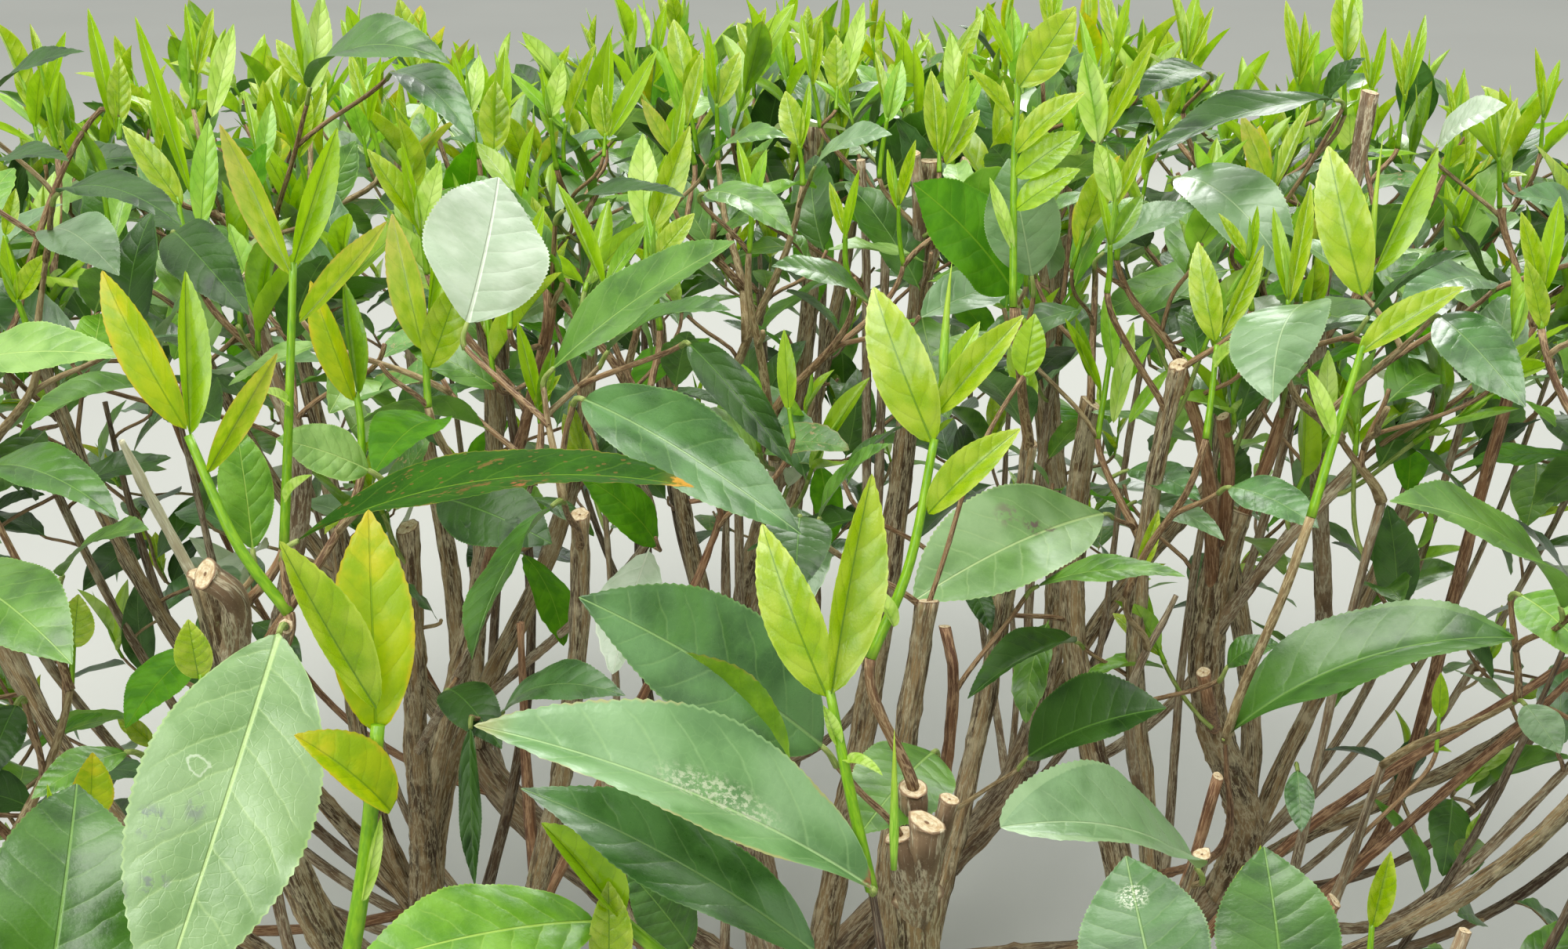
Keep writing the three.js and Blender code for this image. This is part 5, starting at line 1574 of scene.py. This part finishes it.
YOUNG_KINDS = (
    # its whitish-yellow pale patches are partly painted sheen, where gloss on the quilted blade would catch the light
    ("flush_lime", (150, 178, 10), (134, 168, 6), (98, 142, 16), .38, .24, dict(pale=srgb(178, 196, 66), puff=.50, coat=.8, edge=srgb(206, 218, 96), edge_from=.90)),
    ("flush_amber", (166, 182, 4), (140, 168, 4), (120, 154, 10), .40, .34, dict(coat=.15, level=.35, edge=srgb(204, 164, 44), edge_from=.84, blush=(srgb(204, 180, 40), .60, .45))),
    ("flush_fresh", (146, 184, 12), (128, 168, 8), (94, 138, 14), .40, .28, dict(puff=.18, pale=srgb(166, 200, 40), edge=srgb(180, 206, 76), edge_from=.93)),
    ("flush_milky", (182, 212, 104), (166, 202, 84), (146, 186, 74), .44, .30, dict(puff=.6, pale=srgb(206, 226, 146))),
    ("flush_green", (120, 160, 18), (96, 138, 10), (88, 130, 24), .34, .30, dict(puff=.18, edge=srgb(156, 140, 62), edge_from=.93)),
    ("flush_gold", (164, 186, 36), (138, 168, 24), (118, 152, 32), .42, .30, dict(puff=.22, edge=srgb(198, 158, 88), edge_from=.80, blush=(srgb(196, 174, 104), .25, .42))),
    ("flush_soft", (146, 194, 62), (128, 180, 46), (102, 152, 40), .42, .30, dict(pale=srgb(168, 208, 88), puff=.32)),
)
mature_materials = [
    blade_material(n, srgb(*b), srgb(*d), srgb(*v), THROUGH, s, r, 3 + k, **dict(dict(level=0.5), **more))
    for k, (n, b, d, v, s, r, more) in enumerate(MATURE_KINDS)
]
YOUNG_LOOK = dict(coat=.75, veins=7.0, puff=.26, rib=.025, coat_rough=.13, level=.5, strength=.5, shape=(.82, 1.0), lines=.05, painted_groove_shade=.02, rim=.55)
young_materials = [
    blade_material(n, srgb(*b), srgb(*d), srgb(*v), BRIGHT, s, r, 23 + k, **dict(YOUNG_LOOK, **more))
    for k, (n, b, d, v, s, r, more) in enumerate(YOUNG_KINDS)
]


def bark_material(name, furrow, ridge, grey, girth, stretch, rough=0.85, moss=None, strength=0.8, seed=0.0, fine=1.0):
    """Long pale ridges over darker furrows, with greyer patches and, where moss is given, a few specks of lichen."""
    m = Net(name)
    u, v, _ = m.split(m.uv("bark"))
    turn = m.math("MULTIPLY", u, 2 * math.pi)
    cx = m.math("MULTIPLY", m.math("COSINE", turn), girth)
    cy = m.math("MULTIPLY", m.math("SINE", turn), girth)
    long = m.join(cx, cy, m.math("MULTIPLY_ADD", v, stretch, seed))
    even = m.join(cx, cy, m.math("ADD", v, seed))
    streak = m.noise(long, 420.0 * fine, 4.0, 0.62)
    broad = m.noise(long, 150.0 * fine, 3.0)
    patch = m.noise(even, 70.0, 4.0, 0.6)
    grain = m.noise(even, 1400.0, 2.0)
    crest = m.step(m.math("ABSOLUTE", m.math("SUBTRACT", streak, 0.5)), 0.075, 0.0)
    colour = m.blend(m.step(broad, 0.38, 0.62), furrow, ridge)
    colour = m.blend(m.math("MULTIPLY", crest, 0.80), colour, grey)
    colour = m.blend(m.math("MULTIPLY", m.step(patch, 0.52, 0.70), 0.6), colour, grey)
    colour = m.blend(m.math("MULTIPLY", m.step(m.noise(long, 260.0 * fine, 2.0), 0.42, 0.30), 0.75), colour, furrow)
    colour = m.blend(m.math("MULTIPLY", m.step(grain, 0.60, 0.72), 0.25), colour, grey)
    if moss is not None:
        colour = m.blend(m.math("MULTIPLY", m.step(m.noise(even, 120.0, 5.0, 0.7), 0.60, 0.68), 0.55), colour, moss)
    height = m.math("ADD", m.math("MULTIPLY", crest, 0.6), m.math("MULTIPLY", streak, 0.8))
    height = m.math("ADD", height, m.math("MULTIPLY", grain, 0.18))
    normal = m.bump(height, strength, 0.0008)
    return m.finish(colour, m.math("MULTIPLY_ADD", patch, 0.16, rough - 0.10), normal, level=0.32)


TAN, BROWN, GREY = srgb(150, 128, 96), srgb(96, 76, 52), srgb(176, 168, 144)
bark_trunk = bark_material("bark_trunk", srgb(70, 54, 40), srgb(128, 106, 78), srgb(168, 156, 130), .043, .16, moss=srgb(120, 132, 84), fine=.45)
bark_bough = bark_material("bark_bough", srgb(74, 56, 40), srgb(132, 108, 78), srgb(172, 158, 130), .016, .14, moss=srgb(126, 134, 88), fine=.7)
bark_stem = bark_material("bark_stem", srgb(70, 52, 34), srgb(154, 128, 90), srgb(206, 192, 158), .009, .12, moss=srgb(132, 138, 96))
bark_cane = [
    bark_material("bark_cane", srgb(92, 72, 52), srgb(152, 128, 98), srgb(200, 188, 160), .004, .12, seed=3.0),
    bark_material("bark_red", srgb(86, 56, 38), srgb(132, 94, 64), srgb(176, 142, 108), .004, .12, seed=5.0, strength=.5, rough=.7),
    bark_material("bark_ash", srgb(140, 130, 104), srgb(186, 180, 150), srgb(206, 204, 178), .003, .12, seed=7.0, strength=.5),
    bark_material("bark_umber", srgb(66, 50, 38), srgb(112, 90, 66), srgb(150, 138, 116), .004, .12, seed=9.0),
]
twig_brown = bark_material("twig_brown", srgb(88, 62, 42), srgb(132, 100, 68), srgb(172, 148, 112), .0016, .14, seed=2.0, strength=.45, rough=.66, fine=1.6)
twig_tan = bark_material("twig_tan", srgb(104, 84, 54), srgb(146, 124, 86), srgb(178, 162, 124), .0016, .14, seed=4.0, strength=.45, rough=.7, fine=1.6)
twig_green = bark_material("twig_green", srgb(92, 112, 44), srgb(116, 138, 56), srgb(150, 162, 92), .0014, .10, seed=6.0, strength=.3, rough=.55, fine=1.6)


def shoot_material():
    m = Net("shoot_stem")
    u, v, _ = m.split(m.uv("bark"))
    turn = m.math("MULTIPLY", u, 2 * math.pi)
    q = m.join(m.math("MULTIPLY", m.math("COSINE", turn), .0016), m.math("MULTIPLY", m.math("SINE", turn), .0016), m.math("MULTIPLY", v, .2))
    streak = m.noise(q, 900.0, 3.0)
    low = m.noise(q, 200.0, 2.0)
    colour = m.blend(m.step(streak, .35, .65), srgb(108, 160, 10), srgb(138, 184, 22))
    colour = m.blend(m.math("MULTIPLY", m.step(low, .5, .7), .5), colour, srgb(168, 204, 62))
    normal = m.bump(streak, .35, .0003)
    lit = m.blend(1.0, colour, BRIGHT, "MULTIPLY")
    return m.finish(colour, m.math("MULTIPLY_ADD", low, .15, .30), normal, coat=.2, through=lit, share=.25)


def bud_material():
    m = Net("bud")
    u, v, _ = m.split(m.uv("bark"))
    turn = m.math("MULTIPLY", u, 2 * math.pi)
    q = m.join(m.math("MULTIPLY", m.math("COSINE", turn), .0016), m.math("MULTIPLY", m.math("SINE", turn), .0016), m.math("MULTIPLY", v, .15))
    streak = m.noise(q, 1300.0, 3.0)
    colour = m.blend(m.step(streak, .3, .7), srgb(128, 182, 40), srgb(176, 210, 86))
    colour = m.blend(m.math("MULTIPLY", m.step(v, .012, .034), .55), colour, srgb(190, 204, 70))
    normal = m.bump(streak, .5, .0004)
    lit = m.blend(1.0, colour, BRIGHT, "MULTIPLY")
    return m.finish(colour, m.math("MULTIPLY_ADD", streak, .12, .34), normal, coat=.2, through=lit, share=.35)


def cut_material():
    m = Net("cut_face")
    x, y, _ = m.split(m.uv("bark"))
    dx, dy = m.math("MULTIPLY_ADD", x, 2.0, -1.0), m.math("MULTIPLY_ADD", y, 2.0, -1.0)
    far = m.math("SQRT", m.math("ADD", m.math("MULTIPLY", dx, dx), m.math("MULTIPLY", dy, dy)))
    q = m.join(dx, dy, 0.0)
    stain = m.noise(q, 2.3, 4.0)
    ray = m.noise(m.join(m.math("MULTIPLY", m.math("ARCTAN2", dy, dx), 3.0), m.math("MULTIPLY", far, .6), 0.0), 6.0, 3.0)
    ring = m.math("SINE", m.math("MULTIPLY", m.math("ADD", far, m.math("MULTIPLY", stain, .12)), 34.0))
    colour = m.blend(m.step(stain, .36, .66), srgb(212, 198, 166), srgb(176, 150, 112))
    colour = m.blend(m.math("MULTIPLY", m.step(ring, .2, 1.0), .25), colour, srgb(150, 122, 88))
    colour = m.blend(m.math("MULTIPLY", m.step(ray, .55, .75), .45), colour, srgb(134, 106, 76))
    colour = m.blend(m.step(far, .17, .10), colour, srgb(112, 82, 56))
    colour = m.blend(m.math("MULTIPLY", m.step(far, .80, .96), .9), colour, srgb(112, 84, 60))
    height = m.math("ADD", m.math("MULTIPLY", ring, .2), ray)
    return m.finish(colour, m.math("MULTIPLY_ADD", stain, .15, .68), m.bump(height, .5, .0004), level=.3)


shoot_green, bud_green, cut_pale = shoot_material(), bud_material(), cut_material()


# ------------------------------------------------------------------ wood: trunk, boughs, stems, canes, twigs
def resampled(path, rings):
    s = np.concatenate(([0], np.cumsum(np.linalg.norm(np.diff(path, axis=0), axis=1))))
    want = np.linspace(0, s[-1], rings)
    return np.stack([np.interp(want, s, path[:, k]) for k in range(3)], axis=1), want / max(s[-1], 1e-9)


def spaced(path, rings):
    """As resampled, but smooth between the given points."""
    return through(path, rings)


def cap_faces(piece, last, tangent, slot=0, lift=0.0002):
    """A slightly crowned sawn face on each last ring (n, sides, 3)."""
    n, sides = last.shape[:2]
    mid = last.mean(axis=1, keepdims=True)
    t = tangent[:, None]
    rings = [mid + (last - mid) * f + t * g for f, g in ((1.0, lift), (0.86, lift * 2.2), (0.45, lift * 1.2))]
    verts = np.concatenate(rings + [mid + t * lift * 0.4], axis=1)
    m = verts.shape[1]
    ang = np.arange(sides) / sides * 2 * math.pi
    disc = np.concatenate([0.5 + 0.5 * f * np.stack((np.cos(ang), np.sin(ang)), axis=-1) for f in (1.0, 0.86, 0.45)] + [np.array([[0.5, 0.5]])])
    j, jn = np.arange(sides), (np.arange(sides) + 1) % sides
    quads = np.concatenate([np.stack((k * sides + j, k * sides + jn, (k + 1) * sides + jn, (k + 1) * sides + j), axis=-1) for k in (0, 1)])
    fan = np.stack((2 * sides + j, 2 * sides + jn, np.full(sides, 3 * sides)), axis=-1)
    offs = (np.arange(n) * m)[:, None, None]
    uv = np.concatenate((np.tile(disc[quads.ravel()], (n, 1)), np.tile(disc[fan.ravel()], (n, 1))))
    piece.add(verts, [(quads[None] + offs).reshape(-1, 4), (fan[None] + offs).reshape(-1, 3)], slot, bark=uv, OFBake=uv * 0.96 + 0.02)


NODES = list(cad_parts)
BARK_LAYERS = ("bark", "OFBake")
pieces = []
cuts = Piece("cut_ends", "stem_bark", [cut_pale], [], BARK_LAYERS)

# trunk: flared, lobed foot, a lean, fissures, and a rounded top hidden in the fork
trunk = Piece("trunk_bark", "trunk_bark", [bark_trunk], ["trunk"], BARK_LAYERS)
zs = np.concatenate((np.linspace(0, 0.9, 52), np.linspace(0.92, 1.0, 8), (1.015, 1.028)))
profile = np.interp(zs, (0, .09, .24, .42, .62, .78, .92, 1.0, 1.03), (FLARE, 1.36, 1.12, 1.0, 1.03, 1.08, .92, .56, .04)) * TRUNK_R
line = np.stack((6 * MM * zs, -3 * MM * zs, zs * TRUNK_H), axis=1)
fissures = bark_relief(0.0022, 0.0085, 31, joints=0.5)


def trunk_relief(angle, run, radius):
    z = run / TRUNK_H
    lobe = 1 + (0.05 + 0.13 * np.exp(-run / 0.017)) * np.sin(5 * angle + 0.6)
    lump = 1 + 0.035 * np.sin(3 * angle + 60 * run)
    top = 1 - smooth(z, 0.93, 1.02)
    return lobe * lump * (1 + (fissures(angle, run, radius) - 1) * top)


add_tubes(trunk, line[None], profile[None], 110, relief=trunk_relief, level=True)
pieces.append(trunk)

boughs = Piece("bough_bark", "bough_bark", [bark_bough], [b[0] for b in BOUGHS], BARK_LAYERS)
for k, (name, *_) in enumerate(BOUGHS):
    path, radii = limb_data[name]
    add_tubes(boughs, path[None], radii[None], 26, columns=(k, 8), relief=bark_relief(0.0012, 0.0052, 40 + k, 0.05), shift=k * 0.7)
pieces.append(boughs)

HERO = ("stem_front_1", "stem_left_front_1", "stem_right_1", "stem_left_1", "stem_front_2", "stem_right_2", "stem_front_3")
SHORT = {"stem_front_1": 0.93, "stem_right_1": 0.985}
for part in range(3):
    group = STEMS[part * 10 : part * 10 + 10]
    piece = Piece("stem_bark_%d" % (part + 1), "stem_bark", [bark_stem], [s[0] for s in group], BARK_LAYERS)
    for k, s in enumerate(group):
        path, radii = limb_data[s[0]]
        if s[0] in SHORT:
            n = int(len(path) * SHORT[s[0]])
            path, radii = path[:n], radii[:n]
        rings, sides = (150, 30) if s[0] in HERO else (96, 16)
        path, t = resampled(path, rings)
        radii = np.interp(t, np.linspace(0, 1, len(radii)), radii)
        radii = radii * (1 + 0.10 * smooth(t, 0.965, 1.0))
        tilt = np.array([[RNG.uniform(0.1, 0.5), RNG.uniform(0, 6.283)]])
        last, tan = add_tubes(
            piece, path[None], radii[None], sides, columns=(k, 10), relief=bark_relief(0.0009, 0.0034, 60 + part * 10 + k, RNG.uniform(.026, .04)),
            tilt=tilt, shift=k * 0.9 + part * 0.31,
        )
        cap_faces(cuts, last, tan)
    pieces.append(piece)

cane_piece = Piece("cane_bark", "stem_bark", bark_cane, [], BARK_LAYERS)
CANE_RUN = 1 / 0.72
for k, (path, r0, r1, cut, tone) in enumerate(canes):
    shown_one = k < len(SHOWN_CANES) + 4
    rings, sides = (56, 14) if shown_one else (34, 8)
    line, t = resampled(path, rings)
    radii = (r0 + (r1 - r0) * t) * (1 + 0.08 * smooth(t, 0.96, 1.0) * cut)
    if not cut:
        radii = radii * (1 - 0.35 * smooth(t, 0.7, 1.0))
    tilt = np.array([[RNG.uniform(0.1, 0.6), RNG.uniform(0, 6.283)]]) if cut else None
    if cut and shown_one:
        tilt = np.array([[RNG.uniform(0.10, 0.45), math.pi / 2 + RNG.uniform(-1.1, 1.1)]])
    last, tan = add_tubes(
        cane_piece, line[None], radii[None], sides, slot=tone,
        relief=bark_relief(0.00042, 0.0022, 200 + k, RNG.uniform(.02, .034)), tilt=tilt,
    )
    if cut:
        cap_faces(cuts, last, tan)
pieces.append(cane_piece)

twig_piece = Piece("twigs", "twig_bark", [twig_brown, twig_tan, twig_green], [], BARK_LAYERS)
by_shape = {}
for k, (path, parent, tip, tone, load) in enumerate(twigs):
    foot = min(tip * load**0.40, 0.0034)
    foot = max(foot, tip * 1.12)
    _, _, depth = seen(path[len(path) // 2])
    px, py, _ = seen(path[len(path) // 2])
    close = depth < 0.95 and -50 < px < 2050 and -50 < py < 1300
    slot = 2 if tone == 4 and load < 2 else (1 if load > 5 or (k * 7) % 5 == 0 else 0)
    by_shape.setdefault((close, slot), []).append((path, foot, tip))
for (close, slot), group in sorted(by_shape.items()):
    rings, sides = (18, 7) if close else (8, 5)
    P = np.stack([through(g[0], rings) for g in group])
    t = np.linspace(0, 1, rings)[None]
    foot, tip = np.array([g[1] for g in group])[:, None], np.array([g[2] for g in group])[:, None]
    R = foot + (tip - foot) * t**0.8
    add_tubes(twig_piece, P, R, sides, slot=slot, relief=bark_relief(0.00010, 0.0011, 500 + slot, .016) if close else None)
pieces.append(twig_piece)

stalk_piece = Piece("leaf_stalks", "green_shoot", [twig_green], [], BARK_LAYERS)
if petioles:
    t = np.linspace(0, 1, 6)[None]
    foot, tip = np.array([g[1] for g in petioles])[:, None], np.array([g[2] for g in petioles])[:, None]
    add_tubes(stalk_piece, np.stack([g[0] for g in petioles]), foot + (tip - foot) * t, 8)
pieces.append(stalk_piece)
green_piece = Piece("shoot_stems", "green_shoot", [shoot_green], [], BARK_LAYERS)
for rings, sides, group in (
    (14, 10, [s for s in shoot_stems if len(s[0]) == 14]), (5, 5, [s for s in shoot_stems if len(s[0]) == 5])
):
    if group:
        P = np.stack([g[0] for g in group])
        t = np.linspace(0, 1, rings)[None]
        R = np.array([g[1] for g in group])[:, None] * (1 - t) + np.array([g[2] for g in group])[:, None] * t
        add_tubes(green_piece, P, R, sides)
pieces.append(green_piece)

bud_piece = Piece("buds", "young_leaf", [bud_green], [], BARK_LAYERS)
if buds:
    t = np.linspace(0, 1, 9)
    P, R = [], []
    for place, way, length, radius, bend, kind in buds:
        side = square_to(np.array((0.7, 0.5, 0.2)), way)
        P.append(place + t[:, None] * way * length + side * (bend * length * t[:, None] ** 2))
        R.append(radius * (0.55 + 0.45 * smooth(t, 0, .3)) * (1 - t**1.7 * 0.97))
    add_tubes(bud_piece, np.stack(P), np.stack(R), 6)
pieces.append(bud_piece)
pieces.append(cuts)

# ------------------------------------------------------------------ blades, joined by kind and side of the bush
SECTORS = ("middle", "front", "right", "back", "left")


def sector(p):
    rim = math.hypot(p[0] / HALF_X, p[1] / HALF_Y)
    if rim < 0.5:
        return "middle"
    a = math.degrees(math.atan2(p[1] / HALF_Y, p[0] / HALF_X))
    return "front" if -135 <= a < -45 else "right" if -45 <= a < 45 else "back" if 45 <= a < 135 else "left"


def grade(d):
    if d["shown"]:
        return 0
    px, py, depth = seen(d["base"])
    if not (-80 < px < 2080 and -80 < py < 1300):
        return 3
    return 1 if depth < 0.86 else 2 if depth < 1.2 else 3


masses = {s: [] for s in SECTORS}
for name in NODES:
    if name.startswith("foliage"):
        lo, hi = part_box(name)
        masses[sector((np.array(lo) + np.array(hi)) / 2)].append(name)
MATURE_GRID = {0: (84, 8), 1: (30, 6), 2: (18, 4), 3: (11, 4)}
YOUNG_GRID = {0: (36, 8), 1: (18, 4), 2: (14, 4), 3: (10, 4)}
for kind, blades, grids, materials, across, down, slot in (
    ("mature_leaves", mature, MATURE_GRID, mature_materials, 4, 4, "mature_leaf"),
    ("young_leaves", young, YOUNG_GRID, young_materials, 3, 3, "young_leaf"),
):
    for s in SECTORS:
        piece = Piece("%s_%s" % (kind, s), slot, materials, masses[s] if kind == "mature_leaves" else [], ("leafuv", "OFBake"))
        own = [d for d in blades if sector(d["base"]) == s]
        for g in (0, 1, 2, 3):
            add_leaves(piece, [d for d in own if grade(d) == g], *grids[g], across, down)
        pieces.append(piece)

total = 0
for piece in pieces:
    n = piece.triangles()
    total += n
    obj = piece.build()
    print("piece", piece.name, n, "-" if obj is None else "")
print("triangles in all", total)

# ------------------------------------------------------------------ floor and light
floor_mesh = bpy.data.meshes.new("floor")
floor_mesh.from_pydata([(-40, -40, 0), (40, -40, 0), (40, 40, 0), (-40, 40, 0)], [], [(0, 1, 2, 3)])
floor = bpy.data.objects.new("floor", floor_mesh)
bpy.context.scene.collection.objects.link(floor)
floor_net = Net("floor_pale")
place = floor_net.node("ShaderNodeTexCoord").outputs["Object"]
soft = floor_net.noise(place, 1.4, 2.0)
floor_colour = floor_net.blend(soft, (0.345, 0.350, 0.325, 1.0), (0.388, 0.392, 0.364, 1.0))
floor_mesh.materials.append(floor_net.finish(floor_colour, floor_net.math("MULTIPLY_ADD", soft, 0.1, 0.8), floor_net.bump(soft, 0.05, 0.002)))


def area(name, place, aim, size, power, colour):
    data = bpy.data.lights.new(name, "AREA")
    data.shape, data.size, data.energy, data.color = "DISK", size, power, colour
    obj = bpy.data.objects.new(name, data)
    obj.location = place
    d = unit(np.array(aim) - np.array(place))
    from mathutils import Vector

    obj.rotation_euler = Vector(d).to_track_quat("-Z", "Y").to_euler()
    bpy.context.scene.collection.objects.link(obj)


area("sky_soft", (-0.6, -0.7, 3.2), (0, 0, 0.4), 2.6, 98.0, (1.0, 0.99, 0.96))
area("back_soft", (0.7, 2.9, 2.3), (0, 0, 0.6), 1.8, 60.0, (0.99, 1.0, 0.98))
area("front_fill", (-1.4, -2.6, 1.9), (0, 0, 0.45), 1.8, 30.0, (1.0, 0.99, 0.97))
world = bpy.data.worlds.new("world")
world.use_nodes = True
sky = world.node_tree.nodes["Background"]
way = world.node_tree.nodes.new("ShaderNodeTexCoord")
apart = world.node_tree.nodes.new("ShaderNodeSeparateXYZ")
ramp = world.node_tree.nodes.new("ShaderNodeMapRange")
shade = world.node_tree.nodes.new("ShaderNodeMix")
shade.data_type = "RGBA"
ramp.interpolation_type = "SMOOTHSTEP"
for socket, value in zip(ramp.inputs[1:5], (-0.1, 0.95, 0.0, 1.0)):
    socket.default_value = value
shade.inputs[6].default_value = (0.425, 0.44, 0.415, 1.0)
shade.inputs[7].default_value = (1.25, 1.27, 1.25, 1.0)
world.node_tree.links.new(way.outputs["Generated"], apart.inputs[0])
world.node_tree.links.new(apart.outputs[2], ramp.inputs[0])
world.node_tree.links.new(ramp.outputs[0], shade.inputs[0])
world.node_tree.links.new(shade.outputs[2], sky.inputs[0])
sky.inputs[1].default_value = 1.0
bpy.context.scene.world = world
bpy.context.scene.view_settings.view_transform = "Standard"
bpy.context.scene.view_settings.look = "None"

bpy.context.view_layer.update()
